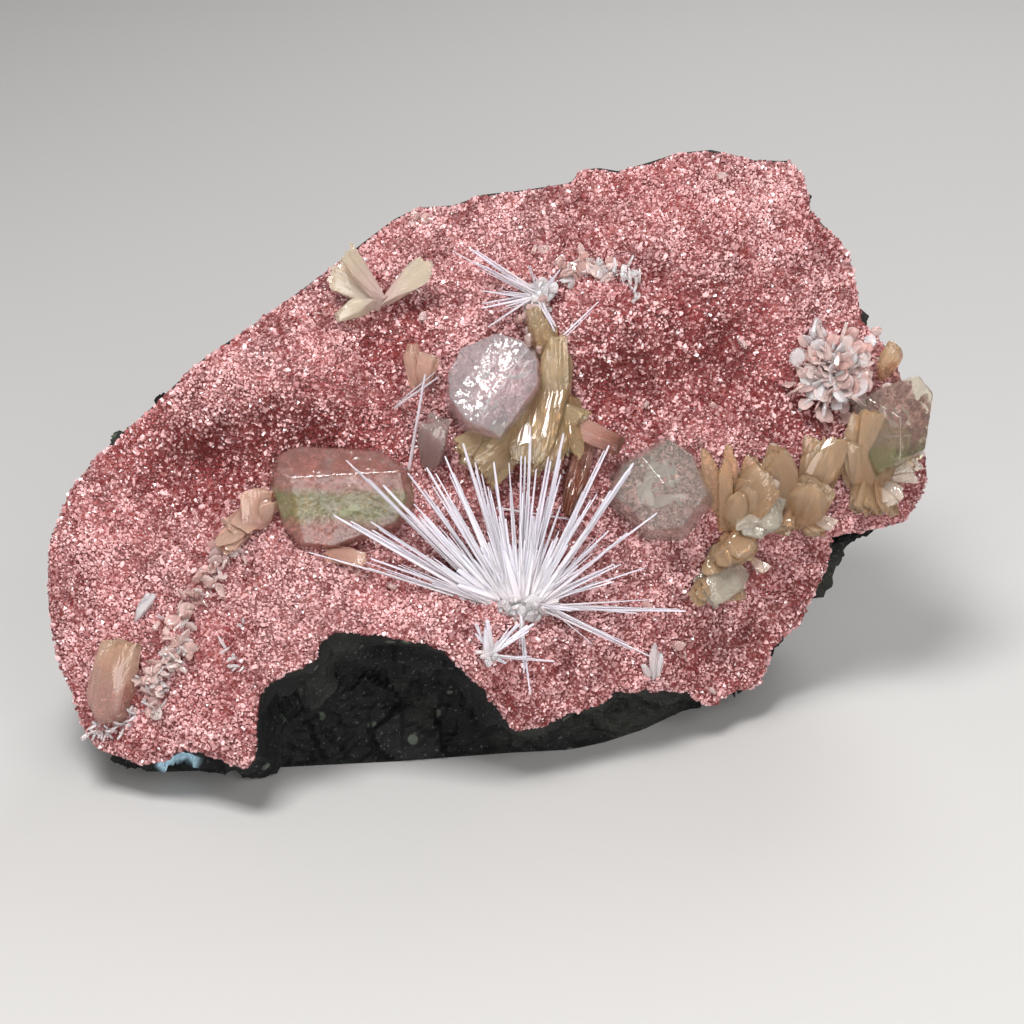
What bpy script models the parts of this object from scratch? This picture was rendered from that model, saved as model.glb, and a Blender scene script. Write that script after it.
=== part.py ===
"""Scolecite specimen: a broken plate of dark basalt whose leaning front face carries a crust of
pink heulandite, a fan of scolecite needles, and crystals of apophyllite and stilbite.

Metres, +Z up. The origin is the middle of the underside of the whole specimen's box.
Shapes are laid out in millimetres on the pink face: u runs to the right, v up the face and
w out of it. The face plane leans back, and its origin is on the table under the front lump.
"""
import math

import bmesh
import bpy
import numpy as np
from mathutils import Vector

MM = 0.001

# Driving dimensions, in millimetres and radians
FACE_LEAN = math.radians(30)
CRUST_THICK = 2.2
GAP = 0.3
FACE_ROWS = 12
WIDEST_COLUMN = 5.6
NARROWEST_COLUMN = 2.8
CRUST_JITTER = 0.5
ROCK_JITTER = 1.7
ROCK_KNOTS = 9.0
MERGE = 0.002

# The face is a shallow crown, turned a little to the right: height w of its plain form
CROWN_HEIGHT = 2.8
CROWN_TURN = -0.108
CROWN_ACROSS = 200.0
CROWN_UP = 217.0
CROWN_MID_V = 55.0

# Swellings and hollows of the face: u, v, height, half width across, half width up
FACE_FORMS = [
    (-35, 18, 9, 28, 14),    # broad ridge above the scoop
    (-9, 28, 4, 12, 7),      # right shoulder of the scoop's rim
    (5, 13, -7, 12, 9),      # fall to the lowest tip
    (48, 24, -17, 17, 17),   # fall to the lower right corner
    (-42, 14, 2, 5, 5),      # front lump
    (-42, 60, -5.5, 26, 6),  # long valley on the left
    (12, 54, -3, 14, 8),     # valley behind the fan
    (-40, 74, 4.5, 20, 7),   # swelling over the left valley
    (18, 85, 6, 7, 7),       # dome right of the upper spray
    (20, 73, -6, 8, 5),      # hollow right of the clear crystal
    (-20, 79, -4, 4, 6),     # dark cleft left of the clear crystal
    (-53, 58, -4, 6, 4.5),   # dark pocket on the far left
    (51, 69, -3, 6, 5),      # hollow under the rosette
    (37, 78, -4, 8, 5),      # hollow right of the dome
    (33, 97, 4, 12, 8),      # swelling under the top edge
]

# Upper and lower edge of the face, from left to right: u, v
TOP_EDGE = [
    (-78.5, 42), (-78, 47), (-75, 55.5), (-71, 61), (-64, 66.5), (-59, 70.5), (-52, 76.5),
    (-45, 81.5), (-38, 87), (-31, 92.5), (-25, 97.5), (-20, 101.5), (-16, 103.5), (-10, 104),
    (-5, 106), (2, 107), (10, 108.5), (12, 111), (15, 111.5), (18.5, 111), (24, 113), (29, 115),
    (35, 116), (43, 114.5), (49, 115), (51, 113), (52.2, 106), (55, 103), (59, 99), (60.2, 92),
    (61, 86.5), (64, 83.5), (66.5, 80), (69.5, 73), (72, 63.5), (72.7, 60),
]
LOW_EDGE = [
    (-78.5, 42), (-78, 35), (-76, 26.5), (-73.7, 22), (-72, 16.5), (-70.5, 13.5), (-67.5, 11.5),
    (-61.5, 9.3), (-57, 10.8), (-54, 12.3), (-49.8, 11.3), (-44, 9), (-42, 11), (-41.2, 21),
    (-40, 23), (-32.5, 26.5), (-31, 30.5), (-28.8, 31.2), (-19, 30.5), (-14.5, 29.5), (-11, 28),
    (-8, 25), (-4.6, 22), (-2.2, 18.8), (-0.3, 16), (1, 15.5), (5.7, 16.3), (10.6, 18.5),
    (15.5, 20), (17.4, 22), (23, 22.3), (30, 22), (32.5, 20.5), (35, 20), (38.5, 22),
    (43.8, 23.5), (45.8, 30.5), (50.6, 34), (53, 40), (54.8, 44), (55.5, 49), (63.3, 50.4),
    (68.8, 51.8), (71.4, 56.3), (72.7, 60),
]

# Underside and back of the rock: u, distance behind the front lump
BASE_FRONT = [
    (-78.5, 25), (-66, 16), (-45, 17.5), (-20, 20), (0, 23), (10, 24), (16, 26.5), (23, 31),
    (35, 42), (44, 48), (72.7, 50),
]
BASE_BACK = [(-78.5, 40), (-70, 50), (-55, 58), (-20, 67), (20, 71), (50, 69), (66, 62), (72.7, 55)]
BASE_HEIGHT = [
    (-78.5, 34), (-76, 19), (-72, 9), (-66, 3.5), (-60, 0), (40, 0), (46, 5), (52, 14), (58, 27),
    (66, 31), (72.7, 41),
]
LEDGE_BACK, LEDGE_RISE, LEDGE_ROUGHNESS = 1.3, 0.2, 0.4

# The hollow under the face: depth, and the heights of the face's edge where it starts and is full
SCOOP_DEPTH = 9.0
SCOOP_START, SCOOP_FULL = 8.0, 28.0
BACK_SWELL = 4.0
ROUND_END = 16.0

# The rock's back from the top ledge down: share of the way back, share of the top's height
BACK_PROFILE = [(0.35, 0.92), (0.8, 0.8), (1.0, 0.57), (0.99, 0.32), (0.95, 0.12)]

# Needles of the main fan: tip u, v, w and thickness
FAN_ROOT = (1.3, 36.0, 5.0)
FAN_ROOT_SIZE = (6.5, 3.8, 2.6)
NEEDLE_START, NEEDLE_FLATNESS, NEEDLE_TAPER = 1.0, 0.8, 0.8
FAN_TIPS = [
    (-33, 44, 12.5, 0.5), (-29, 50, 12.5, 0.9), (-27, 59, 13, 0.6), (-23, 43, 12, 0.5),
    (-23, 49, 12, 0.6), (-21, 55, 12.5, 0.7), (-17, 57, 12, 0.7), (-16, 52, 11, 0.5),
    (-14, 58, 11, 0.7), (-13, 55, 12, 0.6), (-11, 60, 10, 0.7), (-8, 62, 11, 0.9),
    (-5, 57, 11.5, 0.7), (-4, 55, 9.5, 0.6), (-3, 59, 10.5, 0.8), (-0.5, 59, 9.5, 0.6),
    (1.5, 60, 10.5, 0.8), (3, 65, 9, 0.7), (4, 58, 8.5, 0.6), (6, 60, 9, 0.8), (8, 57, 9.5, 0.6),
    (8, 52, 7.5, 0.5), (8.5, 64, 8, 0.9), (14, 54, 8, 0.7), (16, 62, 8, 0.7), (20, 59, 8.5, 0.9),
    (24, 51, 6, 0.6), (16, 48, 7, 0.6), (15, 44, 8.5, 0.5), (18, 42.5, 6, 0.6), (22, 42, 4.5, 0.5),
    (11, 35, 7.5, 0.5), (29, 35, 1, 0.6), (23, 27.5, 0.5, 0.5), (3, 21, 7, 0.6),
]
LOW_SPRAY_ROOT = (-3.8, 27.5, 8.4)
LOW_SPRAY_TIPS = [(-4, 33, 11.5, 1.0), (-6, 32.5, 11.5, 0.6), (-1, 26, 10, 0.5), (7, 26.5, 5.5, 0.5)]

# Needles of the upper spray
UPPER_ROOT = (4.5, 87.9, 2.4)
UPPER_ROOT_SIZE = (2.6, 2.4, 1.8)
UPPER_TIPS = [
    (-7, 95, 7, 0.8), (-10, 95, 5, 0.5), (-5, 88, 6.5, 0.5), (-5, 85, 7, 0.6), (-4, 81.5, 9, 0.4),
    (7, 81, 8, 0.6), (8, 91.5, 7, 0.6), (3, 92, 7.5, 0.5),
]

# Needles that stand alone: root u, v, height over the crust; tip u, v, height; thickness
LONE_NEEDLES = {
    "scolecite_needle_left": ((-17.7, 56.4, -1.5), (-14.2, 73.0, 9.5), 0.7),
    "scolecite_needle_crossed": ((-20.5, 68.4, -1.5), (-12.2, 72.6, 8.5), 0.6),
    "scolecite_prism_left": ((-62.2, 34.2, -0.4), (-59.3, 37.5, 2.6), 1.1),
    "scolecite_prism_right": ((24, 24.2, -0.6), (24, 30.0, 3.2), 1.4),
}

# Apophyllite blocks: outline in u and v, w of the top, width left at the top, depth of the root
CLEAR_OUTLINE = [
    (-8.5, 78.3), (-2.5, 80.7), (2, 79.3), (4.5, 76.3), (4.4, 72), (2.9, 69), (-1.8, 62.8),
    (-4.2, 64.2), (-7.8, 65.3), (-10.7, 69.4), (-10.6, 74),
]
GREEN_OUTLINE = [
    (-38.9, 60.8), (-35.5, 62), (-29.4, 62.4), (-22.2, 61.4), (-17.5, 58.4), (-16.5, 52.8),
    (-18.6, 48.6), (-22.9, 46.3), (-29.4, 44.8), (-35.1, 45.3), (-38, 48.6), (-39.9, 55),
]
GREY_OUTLINE = [
    (18.2, 58.7), (20.4, 61.5), (26.3, 64.1), (30.4, 61.1), (33, 55.5), (32.5, 52.5),
    (28.5, 48.8), (24, 48.2), (19.1, 51.5), (16.3, 55.2),
]
RIGHT_OUTLINE = [
    (58.9, 71), (63.5, 74), (69.8, 76.1), (72.3, 72.8), (70.8, 63.2), (67.5, 61.3), (62.5, 59),
    (60, 64),
]
BLOCK_SHOULDER = 0.72
CLEARANCE_DEPTH = 30.0
BLOCKS = {
    "apophyllite_clear": (CLEAR_OUTLINE, 11.0, 0.78, 7.0),
    "apophyllite_green": (GREEN_OUTLINE, 8.2, 0.84, 8.0),
    "apophyllite_grey": (GREY_OUTLINE, 4.2, 0.74, 7.0),
    "apophyllite_right": (RIGHT_OUTLINE, -7.0, 0.7, 1.6),
}

# Half outline of a blade: share of its length, share of its width; and how wide its top is
BLADE_HALF = [(0.0, 0.3), (0.78, 0.5), (1.0, 0.2)]
BLADE_TOP = 0.72

# Stilbite groups. A blade: root u, v, height over the crust; tip u, v, height; width; thickness
STILBITE = {
    "stilbite_sheaf_centre": [
        ((2, 66, 1), (3.4, 84, 4), 6, 3), ((3, 66, 1), (6.5, 80, 4), 6, 3.2),
        ((3, 67, 1), (9, 75, 3.5), 6.5, 3), ((3, 65, 2), (10, 69.5, 3.5), 6, 3),
        ((3, 66, 1), (8.5, 60, 4.5), 6, 3), ((2, 67, 1), (1.5, 59.5, 4.5), 6.5, 3.2),
        ((1, 66, 1), (-5, 58.5, 4), 6.5, 3), ((0, 65, 1), (-9.5, 60.5, 3.5), 5, 3),
        ((9.5, 66.5, 0.5), (17, 63.2, 6.5), 2.6, 2), ((11.6, 63.5, 0), (9.0, 51.5, 4.2), 3.6, 3),
        ((11, 66, 0), (13.5, 62, 3), 3.5, 2.5),
    ],
    "stilbite_grey_pink": [
        ((-13, 59, 0), (-12.5, 65.5, 5.5), 5.5, 3.5), ((-13, 61, 0), (-14.4, 64, 3.5), 3, 2.4),
    ],
    "stilbite_pair_tan": [
        ((-15.8, 72.2, 0.5), (-16.2, 78.5, 5), 3.8, 2.5), ((-15.5, 72, 0.5), (-12.6, 77.2, 5), 3.4, 2.4),
    ],
    "stilbite_plate_low": [((-27, 45.5, 0), (-27.5, 41.8, 2.8), 6, 2)],
    "stilbite_left": [
        ((-42, 50, 0), (-44.5, 54.5, 5), 5, 2.6), ((-42, 50, 0), (-41.4, 54.8, 5.5), 4.4, 2.6),
        ((-42, 51, 0), (-45.6, 49.6, 3.5), 4, 2.2), ((-42.5, 52, 0), (-42.5, 47, 3), 4, 2.4),
    ],
    "stilbite_chain_right": [
        ((35.6, 49.5, 0), (35.6, 60.5, 6), 4.2, 3), ((36.5, 50, 0), (34, 47, 3.5), 3.4, 2.4),
        ((38, 49, 0), (38, 57.5, 6), 6, 3), ((39, 49, 0), (42, 60, 6.5), 6.5, 3.2),
        ((40, 50, 0), (47, 60.5, 6.5), 7, 3.4), ((42, 50, 0), (47.5, 52, 7), 7, 3.2),
        ((44, 52, 0), (52.5, 63.5, 6.5), 6.5, 3.4), ((45, 52, 0), (53.4, 57, 5.5), 6, 3),
        ((45, 52, 0), (51.5, 51.2, 5), 6, 3), ((42, 50, 0), (42, 45.5, 5), 7, 3),
        ((40, 50, 0), (34.8, 49.0, 5.5), 5, 2.6), ((39, 49, 0), (36, 42, 5), 6.5, 3),
        ((37, 45, 0), (33.5, 36.5, 5.5), 7, 3.2), ((37, 44, 0), (31, 41, 4.5), 6, 3),
        ((36.5, 44, 0), (38.5, 37, 4.5), 5, 3),
    ],
    "stilbite_right": [
        ((60.5, 60, 0.5), (56, 67, 6), 5, 3), ((60.5, 59.5, 0.5), (56.6, 62.5, 6), 4.5, 3),
        ((60.5, 57, 0.5), (57.2, 52.6, 5), 5, 2.6), ((61, 57, 0.5), (61.5, 51.8, 5), 5, 2.6),
        ((61, 57, 0.5), (67, 56.5, 6), 4.5, 2.6),
    ],
    "stilbite_tan_right": [((64.3, 77.2, 0), (66.6, 81.5, 6.5), 3.6, 2.4)],
    "stilbite_bowtie": [
        ((-21.5, 86.3, 0.5), (-31, 92.3, 6.5), 5.5, 2.6), ((-21.5, 87, 0.5), (-26, 92.8, 7), 5, 2.4),
        ((-22, 86.5, 0.5), (-13.6, 92.2, 5.5), 4.6, 2.2), ((-22, 87, 0.5), (-17.5, 92.2, 4.5), 4, 2),
        ((-21.5, 87.5, 0.5), (-28.5, 82.6, 4), 4.4, 2.2),
    ],
    "stilbite_blade_low_left": [
        ((-67.8, 16.5, 0.5), (-67.2, 31, 5.5), 7.4, 3), ((-66.5, 17, 0.5), (-64.8, 28.5, 4.5), 4, 2.6),
        ((-68.5, 16.8, 0.5), (-70.4, 27, 3.5), 4, 2.4),
    ],
}

# Rosette of upright plates on the right: centre u, v; height; reach; number of plates
ROSETTE_AT = (55.6, 77.2)
ROSETTE_HEIGHT, ROSETTE_REACH, ROSETTE_PLATES = 6.0, 8.4, 9
ROSETTE_PLATE = (4.6, 1.9)
ROSETTE_ROOTS = 1.2
ROSETTE_LEANS = (0.5, 1.0, 0.75)
ROSETTE_UPRIGHT, ROSETTE_FALL = 1.5, 0.8

# Strings of small pale crystals: their points u, v, from one end to the other
PALE_STRINGS = {
    "pale_crystals_left": [
        (-46.8, 45.4), (-50.0, 41), (-52.8, 36.9), (-55.5, 32.2), (-54.2, 28.6), (-58, 25),
        (-60.4, 21.2), (-60.2, 18),
    ],
    "pale_crystals_upper": [(9.5, 91.4), (13, 93), (17, 91.4), (20.5, 91.4), (21.2, 88)],
}
PALE_WIDTH, PALE_THICK, PALE_HEIGHT, PALE_LONG, PALE_LAP = 3.2, 1.9, 1.1, 3.4, 0.5
PALE_UPRIGHT_WIDTH, PALE_UPRIGHT_THICK, PALE_TURN = 2.56, 1.14, 4.8

# Coffin-shaped heulandite crystals that stand out of the crust, and where there is no room for them
STANDOUTS = 18
STANDOUT_SIZE = (1.6, 2.8)
STANDOUT_TILT = (0.5, 0.9)
STANDOUT_WIDTH, STANDOUT_THICK, STANDOUT_ROOT = 0.9, 1.1, -0.7
STANDOUT_U, STANDOUT_V, STANDOUT_MARGIN = (-74, 68), (14, 110), 4.0
CROWDED = [
    (-8, 48, 28), (14, 48, 24), (0, 72, 19), (3, 88, 17), (18, 92, 9), (-30, 53, 15), (-44, 51, 9),
    (25, 56, 13), (40, 52, 17), (62, 66, 17), (57, 78, 12), (-22, 88, 13), (-66, 22, 11),
    (-56, 30, 9), (-51, 40, 8), (-60, 35, 6), (26, 30, 9), (-27, 43, 8), (0, 22, 13), (-18, 72, 9),
]

# Colour and roughness of each material
FINISHES = {
    "basalt": ((0.035, 0.037, 0.036), 0.75),
    "heulandite": ((0.52, 0.23, 0.21), 0.45),
    "scolecite": ((0.86, 0.84, 0.86), 0.3),
    "apophyllite": ((0.62, 0.66, 0.55), 0.12),
    "stilbite": ((0.55, 0.44, 0.25), 0.35),
    "pale_stilbite": ((0.75, 0.66, 0.6), 0.35),
}


def on_face(u, v, w):
    """Point of the specimen, in millimetres, that lies at u, v, w of the leaning face."""
    u, v, w = np.broadcast_arrays(np.asarray(u, float), np.asarray(v, float), np.asarray(w, float))
    back = v * math.sin(FACE_LEAN) - w * math.cos(FACE_LEAN)
    up = v * math.cos(FACE_LEAN) + w * math.sin(FACE_LEAN)
    return np.stack([u, back, up], axis=-1)


def relief(u, v):
    """Height of the crust over the face plane: a crown plus bell-shaped swellings and hollows."""
    u, v = np.asarray(u, float), np.asarray(v, float)
    height = CROWN_HEIGHT + CROWN_TURN * u - u ** 2 / (2 * CROWN_ACROSS)
    height = height - (v - CROWN_MID_V) ** 2 / (2 * CROWN_UP)
    for mid_u, mid_v, rise, wide, tall in FACE_FORMS:
        bell = ((u - mid_u) / wide) ** 2 + ((v - mid_v) / tall) ** 2
        height = height + rise * np.exp(-bell / 2)
    return height


def over_crust(point):
    """The same point with its third number turned from height over the crust into w."""
    u, v, height = point
    return np.array([u, v, float(relief(u, v)) + height])


def columns():
    """Places of the face's columns: each bend of either edge, none too close or too far apart."""
    bends = sorted({u for u, _ in TOP_EDGE + LOW_EDGE})
    kept = [bends[0]]
    for place in bends[1:-1]:
        if place - kept[-1] >= NARROWEST_COLUMN and bends[-1] - place >= NARROWEST_COLUMN:
            kept.append(place)
    kept.append(bends[-1])
    places = []
    for left, right in zip(kept, kept[1:]):
        parts = math.ceil((right - left) / WIDEST_COLUMN)
        places += [left + (right - left) * part / parts for part in range(parts)]
    return np.array(places + [kept[-1]])


def edge_at(edge, places):
    """Second number of an edge's points, read at the given places."""
    table = np.array(edge, float)
    return np.interp(places, table[:, 0], table[:, 1])


def face_grid():
    """u and v of the face's points: one column for each place, evenly spaced from low to top."""
    places = columns()
    low, top = edge_at(LOW_EDGE, places), edge_at(TOP_EDGE, places)
    share = np.linspace(0, 1, FACE_ROWS + 1)
    v = low[:, None] + (top - low)[:, None] * share[None, :]
    u = np.repeat(places[:, None], FACE_ROWS + 1, axis=1)
    return u, v


def grid_faces(rows, across, start=0, flip=False):
    """Quads of a grid of points stored column by column."""
    first = np.arange(rows - 1)[:, None] * across + np.arange(across - 1)[None, :] + start
    quads = np.stack([first, first + across, first + across + 1, first + 1], axis=-1).reshape(-1, 4)
    return (quads[:, ::-1] if flip else quads).tolist()


def slab(front, back):
    """Closed body between two grids of points with the same columns and rows."""
    count, across = front.shape[:2]
    points = np.concatenate([front.reshape(-1, 3), back.reshape(-1, 3)])
    behind = count * across
    faces = grid_faces(count, across) + grid_faces(count, across, behind, flip=True)
    rim = [row for row in range(across)]
    rim += [column * across + across - 1 for column in range(1, count)]
    rim += [(count - 1) * across + row for row in range(across - 2, -1, -1)]
    rim += [column * across for column in range(count - 2, 0, -1)]
    for here, after in zip(rim, rim[1:] + rim[:1]):
        faces.append([here, after, after + behind, here + behind])
    return points, faces


def finish_of(name):
    """Material of one mineral, made once."""
    material = bpy.data.materials.get(name)
    if material is None:
        colour, roughness = FINISHES[name]
        material = bpy.data.materials.new(name)
        material.use_nodes = True
        shader = material.node_tree.nodes["Principled BSDF"]
        shader.inputs["Base Color"].default_value = (*colour, 1)
        shader.inputs["Roughness"].default_value = roughness
        shader.inputs["Metallic"].default_value = 0
    return material


def solid(name, points, faces, finish):
    """Object with a closed mesh, faces outward; points are in millimetres."""
    shape = bmesh.new()
    corners = [shape.verts.new(Vector(point) * MM) for point in np.asarray(points, float).tolist()]
    for face in faces:
        shape.faces.new([corners[index] for index in face])
    bmesh.ops.remove_doubles(shape, verts=shape.verts, dist=MERGE * MM)
    bmesh.ops.triangulate(shape, faces=shape.faces)
    bmesh.ops.recalc_face_normals(shape, faces=shape.faces)
    mesh = bpy.data.meshes.new(name)
    shape.to_mesh(mesh)
    shape.free()
    thing = bpy.data.objects.new(name, mesh)
    bpy.context.scene.collection.objects.link(thing)
    mesh.materials.append(finish_of(finish))
    return thing


def prism(root, tip, width, thick, taper=1.0):
    """Four-sided crystal from root to tip, in u, v, w, with a flat end."""
    root, tip = np.asarray(root, float), np.asarray(tip, float)
    along = (tip - root) / np.linalg.norm(tip - root)
    side = np.cross(along, (0, 0, 1))
    side = side / np.linalg.norm(side)
    out = np.cross(side, along)
    ring = np.array([side * width, out * thick, -side * width, -out * thick]) / 2
    points = np.concatenate([root + ring, tip + ring * taper])
    faces = [[0, 1, 2, 3], [7, 6, 5, 4]]
    faces += [[i, i + 4, (i + 1) % 4 + 4, (i + 1) % 4] for i in range(4)]
    return points, faces


def blade(root, tip, width, thick):
    """Tabular crystal, narrow at its root and widest near its blunt tip, in u, v, w."""
    root, tip = np.asarray(root, float), np.asarray(tip, float)
    length = np.linalg.norm(tip - root)
    along = (tip - root) / length
    side = np.cross(along, (0, 0, 1))
    side = side / np.linalg.norm(side)
    out = np.cross(side, along)
    outline = BLADE_HALF + [(far, -wide) for far, wide in reversed(BLADE_HALF)]
    rims = []
    for level, share in ((-0.5, 1.0), (0.5, BLADE_TOP)):
        for far, wide in outline:
            rims.append(root + along * far * length + side * wide * width * share + out * level * thick)
    count = len(outline)
    faces = [list(range(count)), list(range(2 * count - 1, count - 1, -1))]
    for here in range(count):
        after = (here + 1) % count
        faces.append([here, count + here, count + after, after])
    return np.array(rims), faces


def block(outline, top, share, deep, grow=0.0):
    """Blocky crystal: an outline in u and v carried out of the face, drawn in at its top."""
    flat = np.array(outline, float)
    middle = flat.mean(axis=0)
    spokes = flat - middle
    far = np.linalg.norm(spokes, axis=1)[:, None]
    wide = middle + spokes * (far + grow) / far
    floor = float(relief(*middle)) - deep
    shoulder = floor + BLOCK_SHOULDER * (top - floor)
    levels = [(wide, floor), (wide, shoulder), (middle + (wide - middle) * share, top + grow)]
    points = np.concatenate([np.column_stack([ring, np.full(len(ring), level)]) for ring, level in levels])
    count = len(flat)
    faces = [list(range(count)), list(range(3 * count - 1, 2 * count - 1, -1))]
    for level in (0, count):
        for here in range(count):
            after = (here + 1) % count
            faces.append([level + here, level + count + here, level + count + after, level + after])
    return points, faces


def lump(middle, size):
    """Rounded faceted mass, in u, v, w."""
    shape = bmesh.new()
    bmesh.ops.create_icosphere(shape, subdivisions=2, radius=1.0)
    points = np.array([vertex.co[:] for vertex in shape.verts]) * size + middle
    faces = [[vertex.index for vertex in face.verts] for face in shape.faces]
    shape.free()
    return points, faces


def on_specimen(shape):
    """A shape's points, turned from u, v, w into places on the specimen."""
    points, faces = shape
    return on_face(points[:, 0], points[:, 1], points[:, 2]), faces


def settle(thing):
    """Replace an object's mesh by what its modifiers make of it, and drop pieces cut loose."""
    bpy.context.view_layer.update()
    graph = bpy.context.evaluated_depsgraph_get()
    mesh = bpy.data.meshes.new_from_object(thing.evaluated_get(graph))
    thing.modifiers.clear()
    shape = bmesh.new()
    shape.from_mesh(mesh)
    bmesh.ops.remove_doubles(shape, verts=shape.verts, dist=MERGE * MM)
    bmesh.ops.dissolve_degenerate(shape, edges=shape.edges, dist=MERGE * MM)
    bmesh.ops.triangulate(shape, faces=shape.faces)
    bodies = []
    waiting = set(shape.verts)
    while waiting:
        body, reached = set(), [waiting.pop()]
        while reached:
            vertex = reached.pop()
            body.add(vertex)
            for link in vertex.link_edges:
                other = link.other_vert(vertex)
                if other in waiting:
                    waiting.remove(other)
                    reached.append(other)
        bodies.append(body)
    largest = max(bodies, key=len)
    bmesh.ops.delete(shape, geom=[vertex for vertex in shape.verts if vertex not in largest], context="VERTS")
    shape.to_mesh(mesh)
    shape.free()
    thing.data = mesh


def fuse(whole, crystals, cutters=()):
    """Join crystals to a solid, cut it where it meets the crust or a neighbour, and settle it."""
    group = bpy.data.collections.new(whole.name + "_crystals")
    bpy.context.scene.collection.children.link(group)
    for crystal in crystals:
        bpy.context.scene.collection.objects.unlink(crystal)
        group.objects.link(crystal)
    if crystals:
        union = whole.modifiers.new("union", "BOOLEAN")
        union.operation = "UNION"
        union.solver = "EXACT"
        union.operand_type = "COLLECTION"
        union.collection = group
    for cutter in cutters:
        cut = whole.modifiers.new("cut", "BOOLEAN")
        cut.operation = "DIFFERENCE"
        cut.solver = "EXACT"
        cut.object = cutter
    settle(whole)
    for crystal in crystals:
        bpy.data.objects.remove(crystal)
    bpy.data.collections.remove(group)
    return whole


def grown_together(name, shapes, finish, cutters):
    """One solid of crystals that have grown together."""
    whole = solid(name, *on_specimen(shapes[0]), finish)
    crystals = [
        solid(f"{name}_crystal_{number}", *on_specimen(shape), finish)
        for number, shape in enumerate(shapes[1:])
    ]
    return fuse(whole, crystals, cutters)


def hidden(thing):
    """Mark an object as a cutter, which is no piece of the specimen."""
    thing.hide_render = True
    thing.display_type = "WIRE"
    return thing


def blade_over_crust(root, tip, width, thick):
    """Blade whose ends are given by their height over the crust."""
    return blade(over_crust(root), over_crust(tip), width, thick)


def crust(rng):
    """The pink druse: a skin over the face with coffin-shaped crystals grown out of it."""
    u, v = face_grid()
    height = relief(u, v)
    uneven = rng.uniform(-CRUST_JITTER, CRUST_JITTER / 2, u.shape)
    uneven[[0, -1]] = 0
    front = on_face(u, v, height + uneven)
    back = on_face(u, v, height - CRUST_THICK)
    skin = solid("heulandite_crust", *slab(front, back), "heulandite")
    crystals = []
    while len(crystals) < STANDOUTS:
        u, v = rng.uniform(*STANDOUT_U), rng.uniform(*STANDOUT_V)
        lowest, highest = edge_at(LOW_EDGE, u) + STANDOUT_MARGIN, edge_at(TOP_EDGE, u) - STANDOUT_MARGIN
        crowded = any(math.hypot(u - a, v - b) < reach for a, b, reach in CROWDED)
        if crowded or not lowest < v < highest:
            continue
        length = rng.uniform(*STANDOUT_SIZE)
        turn, tilt = rng.uniform(0, math.tau), rng.uniform(*STANDOUT_TILT)
        root = over_crust((u, v, STANDOUT_ROOT))
        tip = root + length * np.array([math.cos(turn) * tilt, math.sin(turn) * tilt, 1.0])
        shape = blade(root, tip, length * STANDOUT_WIDTH, STANDOUT_THICK)
        crystals.append(solid(f"standout_{len(crystals)}", *on_specimen(shape), "heulandite"))
    return fuse(skin, crystals)


def clearance_body():
    """Cutter that reaches from a gap over the crust deep into the rock."""
    u, v = face_grid()
    height = relief(u, v)
    front = on_face(u, v, height + CRUST_JITTER / 2 + GAP)
    back = on_face(u, v, height - CLEARANCE_DEPTH)
    return hidden(solid("clearance", *slab(front, back), "basalt"))


def matrix(rng):
    """The basalt: each section runs up behind the crust, over the top, down the back and under."""
    u, v = face_grid()
    places = u[:, 0]
    front = on_face(u, v, relief(u, v) - CRUST_THICK - GAP)
    low, top = front[:, 0], front[:, -1]
    end = np.minimum(places - places[0], places[-1] - places)
    fullness = np.sqrt(np.clip(1 - (1 - np.clip(end / ROUND_END, 0, 1)) ** 2, 0, 1))
    base_front, base_back = edge_at(BASE_FRONT, places), edge_at(BASE_BACK, places)
    floor = np.minimum(edge_at(BASE_HEIGHT, places), low[:, 2])
    ledge = top[:, 1] + LEDGE_BACK
    rows = [np.stack([places, ledge, top[:, 2] + LEDGE_RISE], axis=-1)]
    for way, share in BACK_PROFILE:
        back = np.maximum(top[:, 1] + (base_back + BACK_SWELL - top[:, 1]) * way, ledge)
        rows.append(np.stack([places, back, floor + (top[:, 2] - floor) * share], axis=-1))
    rows.append(np.stack([places, base_back, floor], axis=-1))
    rows.append(np.stack([places, base_front, floor], axis=-1))
    hollow = SCOOP_DEPTH * np.clip((low[:, 2] - SCOOP_START) / (SCOOP_FULL - SCOOP_START), 0, 1)
    under_back = (low[:, 1] + base_front) / 2 + hollow
    rows.append(np.stack([places, under_back, (low[:, 2] + floor) / 2], axis=-1))
    around = np.stack(rows, axis=1)
    knots = np.arange(places[0], places[-1] + ROCK_KNOTS, ROCK_KNOTS)
    rough = np.zeros_like(around)
    for row in range(around.shape[1]):
        for axis in (1, 2):
            chips = rng.uniform(-ROCK_JITTER, ROCK_JITTER, len(knots))
            rough[:, row, axis] = np.interp(places, knots, chips)
    rough[:, -3:-1, 2] = 0
    rough[:, 0] *= LEDGE_ROUGHNESS
    around += rough
    behind = front[:, :, 1].max(axis=1)[:, None]
    around[:, :, 1] = behind + (around[:, :, 1] - behind) * fullness[:, None]
    around[[0, -1]] = low[[0, -1], None]
    loops = np.concatenate([front, around], axis=1)
    count, across = loops.shape[:2]
    faces = []
    for column in range(count - 1):
        for row in range(across):
            after = (row + 1) % across
            here, beside = column * across, (column + 1) * across
            faces.append([here + row, beside + row, beside + after, here + after])
    return solid("basalt_matrix", loops.reshape(-1, 3), faces, "basalt")


def spray(name, bursts, size, cutters):
    """Needles that radiate from their roots, grown together with a rounded root mass."""
    shapes = [lump(np.array(bursts[0][0]), np.array(size))]
    for root, tips in bursts:
        root = np.array(root)
        for *tip, thick in tips:
            way = np.array(tip) - root
            start = root + way / np.linalg.norm(way) * NEEDLE_START
            shapes.append(prism(start, tip, thick, thick * NEEDLE_FLATNESS, NEEDLE_TAPER))
    return grown_together(name, shapes, "scolecite", cutters)


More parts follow.
